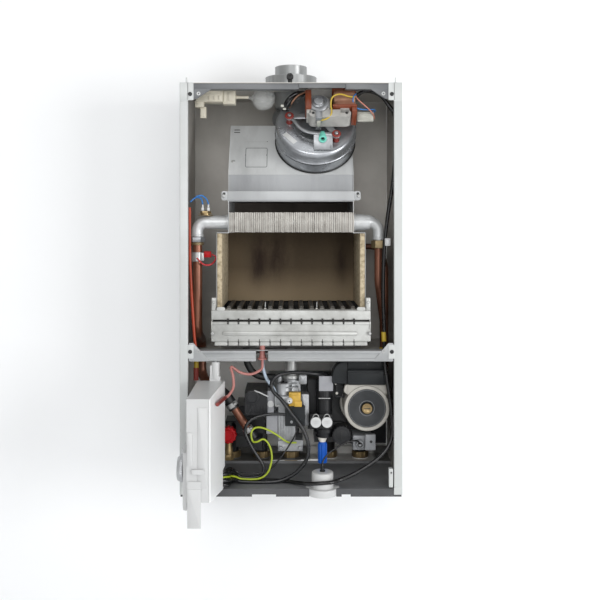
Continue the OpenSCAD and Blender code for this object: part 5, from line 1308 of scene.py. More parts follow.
class BOILER_OT_fan(bpy.types.Operator):
    """Fan housing, its motor with laminations, coil and bearing strap, and the test nipple"""
    bl_idname = "boiler.fan"
    bl_label = "Fan"

    def execute(self, context):
        draw_fan()
        return {"FINISHED"}


# Heat exchanger

FIN_Z, FIN_H, FRONT, BACK = 471.0, 36.0, -215.0, -58.0
FIN_X, FIN_MID = 113.0, 489.0


def draw_exchanger():
    count = bpy.context.scene.boiler_sizes.fins
    fins = []
    tab = fillet([(FRONT, FIN_Z), (FRONT, FIN_Z + FIN_H), (BACK, FIN_Z + FIN_H), (BACK, FIN_Z)], 3, 3)
    folds = []
    pitch = (2 * FIN_X - 0.8) / (count - 1)
    for k in range(count):
        x = -FIN_X + 0.4 + k * pitch
        fins.append(side_plate(tab, x - 0.3, x + 0.3, 0.15, 1))
        sway = 0.5 * math.sin(k * 2.4) + 0.35 * math.sin(k * 5.1)
        folds.append(slab((x - 0.3, FRONT - 0.9 - 0.4 * sway, FIN_Z - 0.4 + 0.5 * sway),
                (x + pitch - 0.75 + 0.3 * sway, FRONT + 0.6, FIN_Z + FIN_H + 0.5 * sway), 0.3))
    make("fin_block", [(fins + folds[0::3] + folds[1::3], "fin_metal"), (folds[2::3], "fin_shade")],
        replaces="exchanger_fins")
    water = eased("water_tubes", "exchanger_tubes", "tinned_copper", 0.25)
    # Painted shade: the front faces of the exchanger's back sheet, in the recess above the fins, are a dark
    # brown.
    repaint(water, "passage_brown", lambda c, n: (n[:, 1] < -0.5) & (c[:, 1] > -60))
    for side, name, node_name, r0, r1, reach, y, drop in ((-1, "left_elbow", "manifold_left", 13, 10, 173,
            -195, 450), (1, "right_elbow", "manifold_right", 16, 9.6, 162, -190, 444)):
        path = bent_path([(114.8, y, FIN_MID), (reach, y, FIN_MID), (reach, y, drop)], 17, 14)
        dist = np.concatenate([[0], np.cumsum(np.linalg.norm(np.diff(path, axis=0), axis=1))])
        stub = reach - 17 - 114.8
        radii = np.interp(dist, [0, stub * 0.75, stub + 8, dist[-1]], [r0, r0, r1 + 1, r1])
        fine = np.interp(np.linspace(0, dist[-1], 60), dist, np.arange(len(path)))
        pts = np.stack([np.interp(fine, np.arange(len(path)), path[:, i]) for i in range(3)], 1)
        rad = np.interp(fine, np.arange(len(path)), radii)
        shapes = [tube(pts, rad, 36), at(ring(r0 - 0.5, r0 + 2, 0, 4, 0.8, 40),
                rightward(114.9, y, FIN_MID)), at(ring(r1 - 0.4, r1 + 1.8, 0, 3.4, 1.2, 40),
                upward(reach, y, drop + 13))]
        if side < 0:
            shapes = mirrored(shapes)
        make(name, [(shapes, "tinned_copper")], replaces=node_name)


class BOILER_OT_exchanger(bpy.types.Operator):
    """Finned block, end plates, the two water manifolds and their nuts"""
    bl_idname = "boiler.exchanger"
    bl_label = "Heat exchanger"

    def execute(self, context):
        draw_exchanger()
        return {"FINISHED"}


def hex_nut(x, y, z, across, h, bore):
    """A hexagon nut with a washer face: six flats whose corners are cut by a cone."""
    return [at(flat_plate(hexagon(across), 0.6, h - 0.6, 0.7, 2), upward(x, y, z)),
        at(ring(bore, across / 2 - 0.3, 0, h, 0.8, 40), upward(x, y, z))]


TAIL_X = (-118, -60, 0, 77, 140)


def hose_clamp(a, b, r, along):
    """A worm-drive hose clamp: a band round the line from a to b with its screw housing."""
    a, b = np.array(a, float), np.array(b, float)
    d = (b - a) / np.linalg.norm(b - a)
    x = np.cross(d, (0, 1, 0))
    x /= np.linalg.norm(x)
    place = basis(a + d * along, x, np.cross(d, x), d)
    return [at(ring(r - 0.5, r + 0.7, -4, 4, 0.3, 40), place),
        at(slab((-5, r, -4.6), (5, r + 4.6, 4.6), 1.2), place),
        at(lathe([(3, 0), (3, 5), (2, 6), (0, 6)], 20), place @ rightward(5, r + 2.4, 0))]


def draw_pipes():
    left = bent_path([(-173, -195, 449.7), (-173, -195, 285), (-173, -120, 262), (-173, -120, 190),
            (-150, -150, 180)], 26, 10)
    slope = bent_path([(-105, -187, 143), (-76, -187, 99)], 5)
    make("flow_line", [([tube(left, 9, 32), tube(slope, 7.5, 32)], "copper"),
            (hose_clamp((-105, -187, 143), (-76, -187, 99), 10.6, -9) + hose_clamp((-105, -187, 143),
                    (-76, -187, 99), 9.2, 46), "galvanised_steel")], replaces="flow_pipe")
    right = bent_path([(162, -190, 443.7), (162, -190, 380), (176, -150, 300), (176, -150, 212),
            (176, -100, 190)], 28, 10)
    vessel = bent_path([(118.6, -28, 440), (184, -28, 440), (184, -110, 400), (184, -110, 210),
            (182, -90, 185)], 24, 10)
    make("return_lines", [([tube(right, 7.5, 28), tube(vessel, 6, 24)], "copper"),
            ([tube([(176, -150, 252), (176, -150, 236)], 8.3, 24)], "yellow_wire")], replaces="right_pipes")
    tails = []
    for x in TAIL_X:
        place = upward(x, -45, -15)
        tails.append(at(lathe([(9, 0.4), (12.4, 0), (13.2, 1), (13.2, 32), (9, 32)], 48), place))
        for k in range(7):
            tails.append(at(ring(13.0, 13.2, 1.5 + 2 * k, 2.3 + 2 * k, 0.05, 40), place))
        tails.append(at(flat_plate(hexagon(29), 30, 42, 1.0, 2), place))
        tails.append(at(ring(9, 15.7, 29.3, 43.2, 0.9, 44), place))
    below_elbow = upward(-173, -195, 447)
    left_nut = [at(lathe([(10.2, 0), (11.4, 0), (12, 1), (12, 4.6), (11, 5.4)], 44), below_elbow),
        at(flat_plate(hexagon(25), 5.6, 14.4, 0.9, 2), below_elbow),
        at(ring(10.2, 12.6, 12.4, 15, 0.6, 44), below_elbow)]
    right_nut = hex_nut(162, -190, 441, 23, 15, 9.7)
    make("brass_tails", [(tails, "brass"), (left_nut[1:], "cast_bright"),
            (left_nut[:1] + right_nut, "brass_dull")], replaces="brass_fittings")
    safety = upward(-158, -195, 489)
    cap = [at(lathe([(9, 13.9), (9, 16.4), (8.2, 17), (7, 17.2), (7, 20.6), (6.4, 21), (0, 21)], 36),
            safety)]
    ears = [slab((-170.5, -199, 504.2), (-145.5, -191, 505.2), 0.4),
        at(ring(8, 14.5, 12.2, 13.4, 0.4, 40), safety)]
    tabs = [slab((x - 2, -198.4, 509.8), (x + 3, -191.6, 516.5), 1.0) for x in (-163.5, -153)]
    tabs += [slab((x - 1, -197.4, 515), (x + 2, -192.6, 521.8), 0.8) for x in (-163.5, -153)]
    ears += [at(flat_plate(hexagon(17), 0, 4.4, 0.7, 2), upward(-158, -195, 505.2))]
    blades = [slab((x, -197, 506), (x + 1, -193, 511), 0.2) for x in (-163.5, -153)]
    clip = [at(ring(9.3, 11.4, 0, 17, 0.6, 36), upward(-173, -195, 417)),
        slab((-165, -206.5, 418), (-160, -199, 433), 0.8)]
    plug = [slab((-160.8, -203, 424.4), (-147, -193.4, 435.6), 1.2, along="y"),
        slab((-158, -204, 427), (-150, -202, 433), 0.5)]
    screw_cap = facing(128, -176, 76)
    tap = [slab((116, -176, 63), (153, -122.3, 90), 1.2, along="y"),
        slab((138, -189, 66), (157, -175, 95), 1.0, along="y"),
        at(lathe([(8, 0), (8, 9), (6.6, 11), (6.4, 13), (3.2, 13.4), (0, 13.4)], 28), screw_cap)]
    dark = [at(disc(2.6, 0, 0.4, 0.1, 20), facing(148.5, -189.2, 82)),
        at(ring(2.4, 5.2, 13.2, 13.9, 0.2, 28), screw_cap)]
    white_clip = [slab((171, -222, 446), (181, -211, 460), 1.6, along="y"),
        slab((173, -223.5, 449), (179, -221, 457), 0.8)]
    make("line_sensors", [(cap + ears, "brass"), (tabs, "white_plastic"), (blades, "galvanised_steel"),
            (clip, "galvanised_steel"), (plug, "red_plastic"), (tap, "grey_plastic"),
            (dark, "black_steel")], replaces="pipe_sensors")
    make("cable_clip", [(white_clip, "white_plastic"),
            ([tube([(169.8, -207, 288), (170.6, -207, 271)], 4.4, 18)], "yellow_wire")])


class BOILER_OT_pipes(bpy.types.Operator):
    """Copper pipes with their bends, brass tails and nuts, and the clip-on sensors"""
    bl_idname = "boiler.pipes"
    bl_label = "Pipes and fittings"

    def execute(self, context):
        draw_pipes()
        return {"FINISHED"}


# Combustion chamber and burner

BLADE_X, BLADES = 114.0, 13


def draw_chamber():
    case = eased("chamber_case", "chamber_casing", "galvanised_steel", 0.3)
    # Painted shade: the inner faces of the casing's back sheet, seen between the burner blades, are near
    # black.
    repaint(case, "soot_steel", lambda c, n: (n[:, 1] < -0.5) & (c[:, 1] > -60))
    side = fillet([(-214.5, 331.8), (-214.5, 468.7), (-54.2, 468.7), (-54.2, 331.8)], 1.6, 3)
    boards = [side_plate(side, 125.8, 134.8, 1.2, 3)]
    back = [slab((-125.6, -63.2, 331.8), (125.6, -54.2, 468.7), 1.0, along="y")]
    make("insulation", [(boards + mirrored(boards), "fibre_board"), (back, "soot_board")],
        replaces="chamber_boards")


class BOILER_OT_chamber(bpy.types.Operator):
    """Combustion chamber: sheet casing, fibre boards and the sooted back board"""
    bl_idname = "boiler.chamber"
    bl_label = "Combustion chamber"

    def execute(self, context):
        draw_chamber()
        return {"FINISHED"}


def burner_front(pitch):
    """The burner's front sheet with its rib, bows, teeth and end plates."""
    y = -228.0
    lower = soft_line([(y + 18, 272.5), (y + 2, 272.5), (y, 274), (y, 303), (y - 1.4, 304.4),
            (y - 1.4, 308.6), (y + 4, 309.2)], 1.0, 3)
    upper = soft_line([(y + 4, 312), (y + 1, 312.6), (y + 1, 328.4), (y + 3, 330), (y + 18, 330)], 1.0, 3)
    x = 144
    parts = [side_plate(strip(lower[::-1], 1.0), -x, x, 0.25),
        side_plate(strip(upper[::-1], 1.0), -x, x, 0.25)]
    rib = rect(-124.8, 283.2, 121.2, 292.3, 4.4, 7)
    crown = rect(-122.6, 285.4, 119, 290.1, 2.2, 7)
    rows = [np.column_stack([rib[:, 0], np.full(len(rib), y + 0.4), rib[:, 1]]),
        np.column_stack([rib[:, 0] * 0.5 + crown[:, 0] * 0.5, np.full(len(rib), y - 1.6),
                rib[:, 1] * 0.5 + crown[:, 1] * 0.5]), np.column_stack([crown[:, 0],
                np.full(len(rib), y - 2.4), crown[:, 1]])]
    centre = len(rib) * 3
    points = np.concatenate(rows + [np.array([[-1.8, y - 2.4, 287.8]])])
    faces = quads(3, len(rib), wrap_r=False) + [(2 * len(rib) + k, 2 * len(rib) + (k + 1) % len(rib),
            centre) for k in range(len(rib))]
    bumps = [(points, faces)]
    marks = []
    for i in range(BLADES):
        cx = -BLADE_X + i * pitch
        for s in (-1, 1):
            bow = np.column_stack([cx + s * (0.7 + 0.9 * np.sin(np.linspace(0, math.pi, 9))),
                    np.full(9, y - 1.3), np.linspace(304.2, 315.4, 9)])
            marks.append(tube(bow, 0.45, 8))
        marks.append(slab((cx - 0.8, y - 1.5, 305), (cx + 0.8, y - 0.9, 314.6), 0.2, along="y"))
        marks.append(slab((cx - 0.5, y - 0.6, 272.8), (cx + 0.5, y + 1, 277.5), 0.2, along="y"))
    ends = []
    for s in (-1, 1):
        ends.append(side_plate(fillet([(y + 4, 273), (y + 18, 273), (y + 18, 330), (y + 4, 330)], 2),
                s * 143.2 - 0.7, s * 143.2 + 0.7, 0.3))
        ends.append(slab((s * 140.1 - 3.9, y + 3, 329), (s * 140.1 + 3.9, y + 22, 352), 1.0, along="y"))
        lug = stadium(s * 127, 332, 16.2, 7.2, 8)
        ends.append(front_plate(lug, y - 0.5, y + 1.5, 0.8, 3))
        ends.append(slab((s * 143.2 - 0.9, y - 2.4, 296), (s * 143.2 + 0.9, y + 4, 310), 0.4))
        ends.append(at(lathe([(2.8, 0), (2.8, 1), (1.6, 2), (0, 2)], 20), facing(s * 140, y + 3, 344)))
    top = [slab((-x + 2, y + 4, 329.2), (x - 2, y + 18, 330.2), 0.4)]
    back = [slab((-x + 2, y + 8, 274), (x - 2, y + 9.6, 329), 0.3, along="y")]
    teeth = []
    for i in range(BLADES + 1):
        a = -x + 6 if i == 0 else -BLADE_X + (i - 1) * pitch + 1.2
        b = x - 6 if i == BLADES else -BLADE_X + i * pitch - 1.2
        teeth.append(side_plate(strip([(y + 2, 272.8), (y + 0.4, 271.4), (y + 0.4, 266)], 0.8), a, b, 0.2))
    # Painted shade: the sheet behind the front and the dark bows and slots of its openings.
    make("burner_cover", [(parts + ends + top + bumps + teeth, "burner_bright"),
            (back + marks, "soot_steel")], replaces="burner_front")


def draw_burner():
    blades, ports = [], []
    pitch = 2 * BLADE_X / (BLADES - 1)
    for i in range(BLADES):
        x = -BLADE_X + i * pitch
        side = fillet([(-207, 285), (-77, 295), (-72, 303), (-72, 330), (-75, 333), (-204, 333),
                (-207, 330)], 2.2, 3)
        blades.append(side_plate(side, x - 4.5, x + 4.5, 1.3, 3))
        blades.append(at(ring(2.6, 4.2, 0, 5, 0.5, 20), facing(x, -206.5, 306.5)))
        blades.append(slab((x - 3.2, -205.5, 332.8), (x + 3.2, -74, 334.2), 0.6))
        for k in range(9):
            y = -199 + k * 14
            ports += [slab((x - 3.0, y + d, 334.1), (x + 3.0, y + d + 1.1, 334.5), 0.1) for d in (0, 2.6,
                    5.2)]
    rail = [slab((-134.7, -111, 295), (134.7, -97, 305.1), 1.0, along="x")]
    # Painted shade in the flame ports: thin dark slabs on the blades' tops.
    make("burner_bars", [(blades + rail, "burner_steel"), (ports, "soot_steel")], replaces="burner_blades")
    burner_front(pitch)
    rods = []
    tips = []
    for k in (3.5, 8.5):
        x = -BLADE_X + k * pitch
        rods.append(at(lathe([(2.2, 0), (3.2, 1), (3.4, 2), (3.4, 44), (2.6, 52), (1.6, 53), (0, 53)], 24),
                upward(x, -199, 278)))
        tips.append(tube([[x, -199, 330], [x, -199, 338], [x + 0.4, -197, 342]], 1.0, 10))
        tips.append(slab((x - 6, -217.7, 283), (x + 6, -195, 284.2), 0.4))
    make("spark_rods", [(rods, "white_ceramic"), (tips, "galvanised_steel")], replaces="electrodes")


class BOILER_OT_burner(bpy.types.Operator):
    """Burner blades with their flame ports, the front sheet and the electrodes"""
    bl_idname = "boiler.burner"
    bl_label = "Burner"

    def execute(self, context):
        draw_burner()
        return {"FINISHED"}


# Hydraulics behind the control box

def bolt(x, y, z, r, h, n=24):
    """A cylinder-head bolt with a socket, facing forwards."""
    return [at(lathe([(r, 0), (r, h * 0.85), (r * 0.85, h), (r * 0.5, h), (r * 0.45, h * 0.5),
                    (0, h * 0.5)], n), facing(x, y, z))]


def draw_gas_valve():
    eased("gas_riser", "gas_pipe", "galvanised_steel", 0.5)
    body = eased("gas_valve_body", "gas_valve", "valve_aluminium", 0.9)
    repaint(body, "slate_plastic", lambda c, n: (c[:, 1] < -186.1) & (c[:, 2] > 112) & (c[:, 2] < 150)
        & (c[:, 0] > -12))
    repaint(body, "lilac_grey", lambda c, n: (c[:, 0] < -24.1) & (c[:, 2] < 133) & (c[:, 2] > 94))
    yoke = [slab((-4, -202, 150.5), (18, -190.2, 176), 1.2, along="y"),
        slab((6, -204, 149.8), (20, -190.2, 160), 0.8), slab((0, -203.4, 170), (14, -201, 175), 0.6)]
    spindle = facing(-3, -200.8, 161)
    cap = [at(lathe([(5.8, 0), (5.8, 4.6), (5.0, 5.8), (4.0, 6.2), (4, 9), (3.2, 10), (1.4, 10),
                    (1.2, 8.6), (0, 8.6)], 36), spindle)]
    # Painted shade: a thin black disc stands for the hole in the cap.
    hole = [at(disc(1.4, 8.8, 9.1, 0.05, 16), spindle)]
    make("modulation_coil", [(yoke, "yellow_bracket"), (cap, "white_plastic"), (hole, "black_steel")],
        replaces="gas_valve_coil")
    detail, dark = [], []
    top = upward(-3, -172, 189.1)
    detail.append(at(lathe([(17.4, -0.6), (17, 0.4), (13, 0.9), (12.6, 0.2), (8, 0.2), (7.6, 1.4),
                    (0, 1.6)], 48), top))
    detail.append(at(ring(17.2, 18.4, -8, -5.6, 0.6, 48), top))
    dark.append(at(ring(5, 6.4, 0, 2.4, 0.5, 28), upward(-13, -176, 189)))
    dark.append(at(disc(3.4, 0, 2, 0.4, 20), upward(6, -168, 190)))
    for x, z in ((-18, 158), (12, 158), (-20, 140), (1, 121), (-18, 108), (2, 92)):
        detail += bolt(x, -190 if z > 150 else (-199 if x > -5 and z > 112 else -186), z, 2.6, 1.8)
    for x in (-19, 17):
        detail += bolt(x, -192, 70, 3.6, 2.6)
        detail.append(at(ring(3.4, 4.8, 0, 0.8, 0.2, 24), facing(x, -188, 70)))
    ribs = [slab((-24.6 + 5 * k, -187.0, 88), (-23.4 + 5 * k, -185.6, 150), 0.4) for k in range(1, 6)]
    plate = [slab((-27, -191.6, 152), (14, -189.6, 166), 1.0, along="y"),
        slab((14, -180, 186), (30, -150, 205), 3, along="y"),
        slab((18, -176, 108), (34, -150, 168), 3, along="y")]
    make("valve_details", [(detail + ribs + plate, "valve_aluminium"), (dark, "black_plastic")])


class BOILER_OT_gas_valve(bpy.types.Operator):
    """Gas riser, valve body, modulating coil and their screws"""
    bl_idname = "boiler.gas_valve"
    bl_label = "Gas valve"

    def execute(self, context):
        draw_gas_valve()
        return {"FINISHED"}


def draw_flow_group():
    body = eased("flow_block", "flow_group", "black_plastic", 1.2, clamp=True)
    repaint(body, "lilac_grey", lambda c, n: (c[:, 0] > -43.9) & (c[:, 2] > 133.5) & (c[:, 1] < -149))
    port = [at(lathe([(9, 0), (12.6, 0), (13, 0.6), (13, 1.6), (12, 2), (10, 2), (9.6, 1.2), (9.4, -4)],
                44), facing(-72, -195.6, 165)), at(ring(5.4, 7.2, 0, 1.6, 0.5, 36),
            facing(-72, -190.4, 165))]
    button = [at(lathe([(5.2, 0), (5.2, 1), (4.4, 1.6), (2, 1.4), (0, 1.8)], 32), facing(-72, -190.2, 165))]
    ribs = [slab((-86 + 6 * k, -191.2, 134), (-84.8 + 6 * k, -189.6, 150), 0.4) for k in range(7)]
    ribs += [slab((-87, -191, 132), (-43.4, -189.4, 134.2), 0.5),
        slab((-104, -152, 120), (-50, -149, 123), 0.6), slab((-104, -152, 84), (-50, -149, 87), 0.6)]
    link = [tube([[-68, -192.6, 177.4], [-56, -192.8, 173], [-42, -191.6, 166]], 1.3, 12)]
    screw = bolt(-26, -187, 151, 4.6, 2.6)
    seat = [at(disc(6.2, -1, 1.4, 0.5, 28), facing(-38, -184.1, 151))]
    brass = [at(flat_plate(hexagon(17), 46, 56, 0.8), upward(-117, -178, 0)),
        at(lathe([(7, 52), (8.2, 54), (8.2, 64), (7, 72), (7, 80)], 32), upward(-117, -178, 0))]
    black = [at(ring(3, 8.6, 0, 10, 1.6, 32), facing(-113.5, -196, 29))]
    make("flow_details", [(port + ribs, "black_plastic"), (button + link + seat, "white_plastic"),
            (screw, "galvanised_steel"), (brass, "brass"), (black, "black_rubber")])
    relief = facing(-117, -170, 93)
    o = circle(0, 0, 15.2, 96)
    a = np.arctan2(o[:, 1], o[:, 0])
    lobed = o * (1 + 0.055 * np.cos(12 * a))[:, None]
    knob = [at(prism(lobed, 0, 19, 2.2, 4), relief),
        at(lathe([(11, 18.6), (11, 21.2), (10, 22.4), (8.6, 22.4), (8, 21.4), (0, 21.4)], 40), relief)]
    make("relief_cap", [(knob, "red_plastic")], body="relief_knob", replaces="relief_knob")


class BOILER_OT_flow_group(bpy.types.Operator):
    """Black flow manifold with the diverter port and the relief valve"""
    bl_idname = "boiler.flow_group"
    bl_label = "Flow group"

    def execute(self, context):
        draw_flow_group()
        return {"FINISHED"}


def draw_return_group():
    body = eased("return_block", "return_group", "black_plastic", 1.2, clamp=True)
    repaint(body, "lilac_grey", lambda c, n: (c[:, 1] < -187.5) & (c[:, 2] > 175.9) & (c[:, 0] < 78.5)
        & (c[:, 0] > 51.5) & (c[:, 1] > -189.8))
    repaint(body, "white_plastic", lambda c, n: (c[:, 1] < -189.05) & (abs(c[:, 2] - 119.7) < 9)
        & (c[:, 0] < 77) & (c[:, 0] > 36))
    tower = [at(ring(14.8, 16.2, z, z + 2.4, 0.7, 44), upward(62, -172, 0)) for z in (88.2, 136, 158, 178)]
    tower.append(at(lathe([(15.2, 190), (15.6, 192), (15.6, 195), (13, 197), (6, 197.6), (0, 197.6)], 44),
            upward(62, -172, 0)))
    tower += [slab((60.6, -188.2, 134), (63.4, -186.4, 186), 0.6)]
    tower += [slab((36, -190.4, 106.5), (76, -188.4, 109), 0.6),
        slab((36, -190.4, 130), (76, -188.4, 132.4), 0.6)]
    white, bails = [], []
    for x in (46, 66.5):
        white.append(at(lathe([(8.8, 0), (8.8, 5.2), (8.0, 6.6), (6.4, 6.9), (6, 6.2), (0, 6.2)], 44),
                facing(x, -191, 119.7)))
        white.append(slab((x - 4.6, -198.0, 117.6), (x + 4.6, -196.9, 119), 0.4))
        white.append(slab((x - 4.6, -198.0, 120.6), (x + 4.6, -196.9, 122), 0.4))
        loop = arc(x, 128.6, 5.2, -10, 190, 14)
        bails.append(tube(np.column_stack([loop[:, 0], np.full(len(loop), -193.5), loop[:, 1]]), 0.9, 10))
    line = [slab((51, -189.2, 161.6), (73, -187.2, 163), 0.4)]
    filter_cap = facing(94, -187.6, 94)
    cap = [at(lathe([(17, 0), (17, 3), (16, 4.4), (14, 4.6), (13.4, 3), (11, 3), (10.4, 4.6), (8.6, 5),
                    (0, 5)], 56), filter_cap)]
    for k in range(18):
        c, s = math.cos(k * math.pi / 9), math.sin(k * math.pi / 9)
        cap.append(at(slab((-1, -1.2, 0.4), (1.2, 1.2, 3.8), 0.5),
                filter_cap @ basis((16.6 * c, 16.6 * s, 0), (c, s, 0), (-s, c, 0), (0, 0, 1))))
    # Painted shade: a black slab stands for the groove in the cap.
    groove = [slab((93.2, -193.6, 87), (94.8, -192.4, 101), 0.3)]
    dots = [at(disc(2.2, 0, 1.4, 0.5, 20), facing(84, -168.1, 186)),
        at(disc(2.6, 0, 1.6, 0.6, 20), facing(86, -168.1, 168))]
    block = [slab((84, -169.4, 160), (106, -167.4, 163), 0.6),
        slab((80, -166, 190.2), (100, -130, 206), 3, along="y")]
    make("return_details", [(tower + cap + block, "black_plastic"), (white, "white_plastic"),
            (bails + line, "galvanised_steel"), (groove, "black_steel"), (dots, "white_ceramic")])
    place = upward(59, -172, 0)
    grip = circle(0, 0, 8.0, 96)
    turn = np.arctan2(grip[:, 1], grip[:, 0])
    fluted = grip * (1 + 0.1 * np.clip(np.cos(8 * turn) * 3, -1, 1))[:, None] * 0.97
    handle = [at(flat_plate(fluted, 38.2, 75, 1.4, 3), place),
        at(lathe([(7.4, 74), (7.4, 76.6), (6.8, 77.7), (4, 77.7)], 40), place)]
    stem = [at(disc(4.1, 74, 91.6, 0.4, 24), place)]
    cone = [at(lathe([(4.2, 77.9), (5.8, 77.9), (8.8, 85.6), (8.9, 86.7), (4.2, 86.7)], 36), place)]
    make("filling_grip", [(handle + stem, "blue_plastic"), (cone, "white_ceramic")], body="filling_handle",
        replaces="filling_handle")


class BOILER_OT_return_group(bpy.types.Operator):
    """Black return manifold with its plugs, filter cap and the blue filling handle"""
    bl_idname = "boiler.return_group"
    bl_label = "Return group"

    def execute(self, context):
        draw_return_group()
        return {"FINISHED"}


def terminal_box():
    """The pump's terminal box and cable gland."""
    parts = [slab((104, -205, 190.3), (174, -160, 216.2), 1.4, corner=3, along="y", n=3),
        slab((105, -196, 216), (176, -160, 233.3), 1.2, corner=3, along="y", n=3),
        slab((103.4, -205.6, 213.6), (174.6, -160, 217), 0.8, corner=1.4, along="y"),
        slab((108, -206, 194), (170, -204.6, 212), 0.6, corner=2, along="y")]
    outline = np.concatenate([[(106, 190.3), (106, 233)], arc(104, 205, 28, 90, 180, 14),
            [(76, 192), (80, 190.3)]])
    parts.append(front_plate(fillet(outline, 1.0, 1), -196, -166, 2.0, 3))
    gland = [at(lathe([(8.6, 0), (9, 1), (9, 11), (8, 13.4), (6.4, 14), (6, 14.4), (6, 24), (5, 26.4),
                    (3.6, 26.6)], 36), basis((104.6, -178, 199.3), (0, -1, 0), (0, 0, 1), (-1, 0, 0)))]
    dots = [at(disc(1.2, 0, 0.3, 0.05, 14), facing(141, -196.1, 226))]
    make("pump_terminals", [(parts + gland, "slate_plastic"), (dots, "black_steel")],
        replaces="terminal_box")


def draw_pump():
    x, z, front = 140, 146, -200
    place = facing(x, front, z)
    rim = np.concatenate([[(26, -70.8), (41.9, -70.8), (41.9, -3)], arc(40.1, -1.8, 1.8, 0, 90, 6),
            [(36.0, 0), (35.4, -0.6), (35.2, -2.2), (0, -2.2)]])
    can = [at(lathe(rim, 96), place), at(ring(41, 47.4, -71.6, -62, 1.6, 72), place)]
    shoulder = fillet([(-37, 26), (37, 26), (36, 43.5), (-36, 43.5)], 3, 4)
    can.append(at(prism(shoulder, -18, -2, 1.4, 3), place))
    for s in (-1, 1):
        lug = fillet([(s * 30, 20), (s * 43, 30), (s * 40, 43.5), (s * 26, 43.5)], 4, 4)
        can.append(at(prism(lug, -16, -3, 1.2, 3), place))
    face = [at(lathe([(35.1, -2.1), (34.9, -1.5), (13.6, -1.4), (12.6, -1.9), (11, -2.1), (0, -2.1)], 96),
            place)]
    rings = [at(ring(33.2, 33.6, -1.5, -1.34, 0.05, 96), place),
        at(ring(13.4, 14, -1.45, -1.3, 0.05, 64), place)]
    make("pump_can", [(can, "pump_can"), (face, "pump_face"), (rings, "grey_plastic")],
        replaces="pump_motor")
    screw = lathe([(5.7, -9), (5.7, -0.2), (9.0, 0), (9.6, 0.7), (9.6, 1.7), (9, 2.3), (6.6, 2.4),
            (6.2, 2.1), (0, 2.1)], 44)
    # Painted shade: a thin black bar stands for the screw's slot.
    bar = [slab((-8.6, -0.75, 2.05), (8.6, 0.75, 2.2), 0.1)]
    make("bleed_plug", [(at(screw, place), "brass"), ([at(b, place) for b in bar], "black_steel")],
        body="bleed_screw", replaces="bleed_screw")
    terminal_box()
    eased("plate_pack", "plate_exchanger", "plate_steel", 0.8)
    plates = []
    for k in range(15):
        y = -57 + k * 2.7
        plates.append(slab((-46.0, y, 104.0), (140.0, y + 1.5, 184.0), 0.6, corner=6, along="y"))
    make("plate_edges", [(plates, "copper")])


class BOILER_OT_pump(bpy.types.Operator):
    """Pump motor with its plain face, terminal box, brass bleed screw and plate exchanger"""
    bl_idname = "boiler.pump"
    bl_label = "Pump"

    def execute(self, context):
        draw_pump()
        return {"FINISHED"}


def draw_base():
    # The plate's finish paints light under the filling set and the pump and shade along the rest.
    eased("pipe_plate", "hydraulic_plate", "plate_pale", 0.4)
    g = upward(57, -226, -3)
    cup = [at(lathe([(23.8, 8), (24, 0.6), (24.6, 0), (26.4, 0), (27, 0.8), (27, 12.2), (26.2, 13),
                    (20.8, 13.2), (20, 14), (19.7, 36), (19.2, 39.4), (17.4, 40.9), (15, 41), (0, 41)],
                72), g)]
    for s in (-1, 1):
        cup.append(at(slab((s * 28.5 - 2, -6, 1), (s * 28.5 + 2, 6, 10), 0.8), g))
        wing = fillet([(s * 18, -6), (s * 30.5, -6), (s * 30.5, 6), (s * 18, 6)], 3)
        cup.append(at(flat_plate(wing, 10, 13.4, 0.8), g))
    stem = [at(lathe([(5, 40.5), (5, 42.6), (4, 43.4), (4, 47), (3, 49), (1.6, 49.2)], 28), g)]
    dial = [at(ring(0.1, 23.6, 7.6, 7.95, 0.05, 64), g)]
    marks = []
    for k in range(25):
        a = math.radians(-225 + 270 * k / 24)
        c, s = math.cos(a), math.sin(a)
        inner = 17.4 if k % 6 else 15.4
        marks.append(at(slab((inner, -0.35, 7.4), (20.4, 0.35, 7.62), 0.05),
                g @ basis((0, 0, 0), (c, s, 0), (-s, c, 0), (0, 0, 1))))
    glass = [at(disc(23.7, 0, 1.1, 0.3, 64), g)]
    make("gauge_cup", [(cup, "white_plastic"), (stem, "slate_plastic"), (dial, "white_ceramic"),
            (marks, "black_steel"), (glass, "clear_dome")], replaces="gauge")
    bracket = [slab((176, -238.5, 12.5), (183.4, -226, 46), 0.8, along="x")]
    # Painted shade: a thin black disc stands for the bracket's screw hole.
    make("tray_angle", [(bracket, "white_enamel"),
            ([at(disc(1.6, 0, 0.3, 0.1, 16), facing(180, -238.6, 39))], "black_steel")])


class BOILER_OT_base(bpy.types.Operator):
    """Hydraulic plate and the pressure gauge cup in the tray"""
    bl_idname = "boiler.base"
    bl_label = "Base"

    def execute(self, context):
        draw_base()
        return {"FINISHED"}


# Control box, open on its hinge

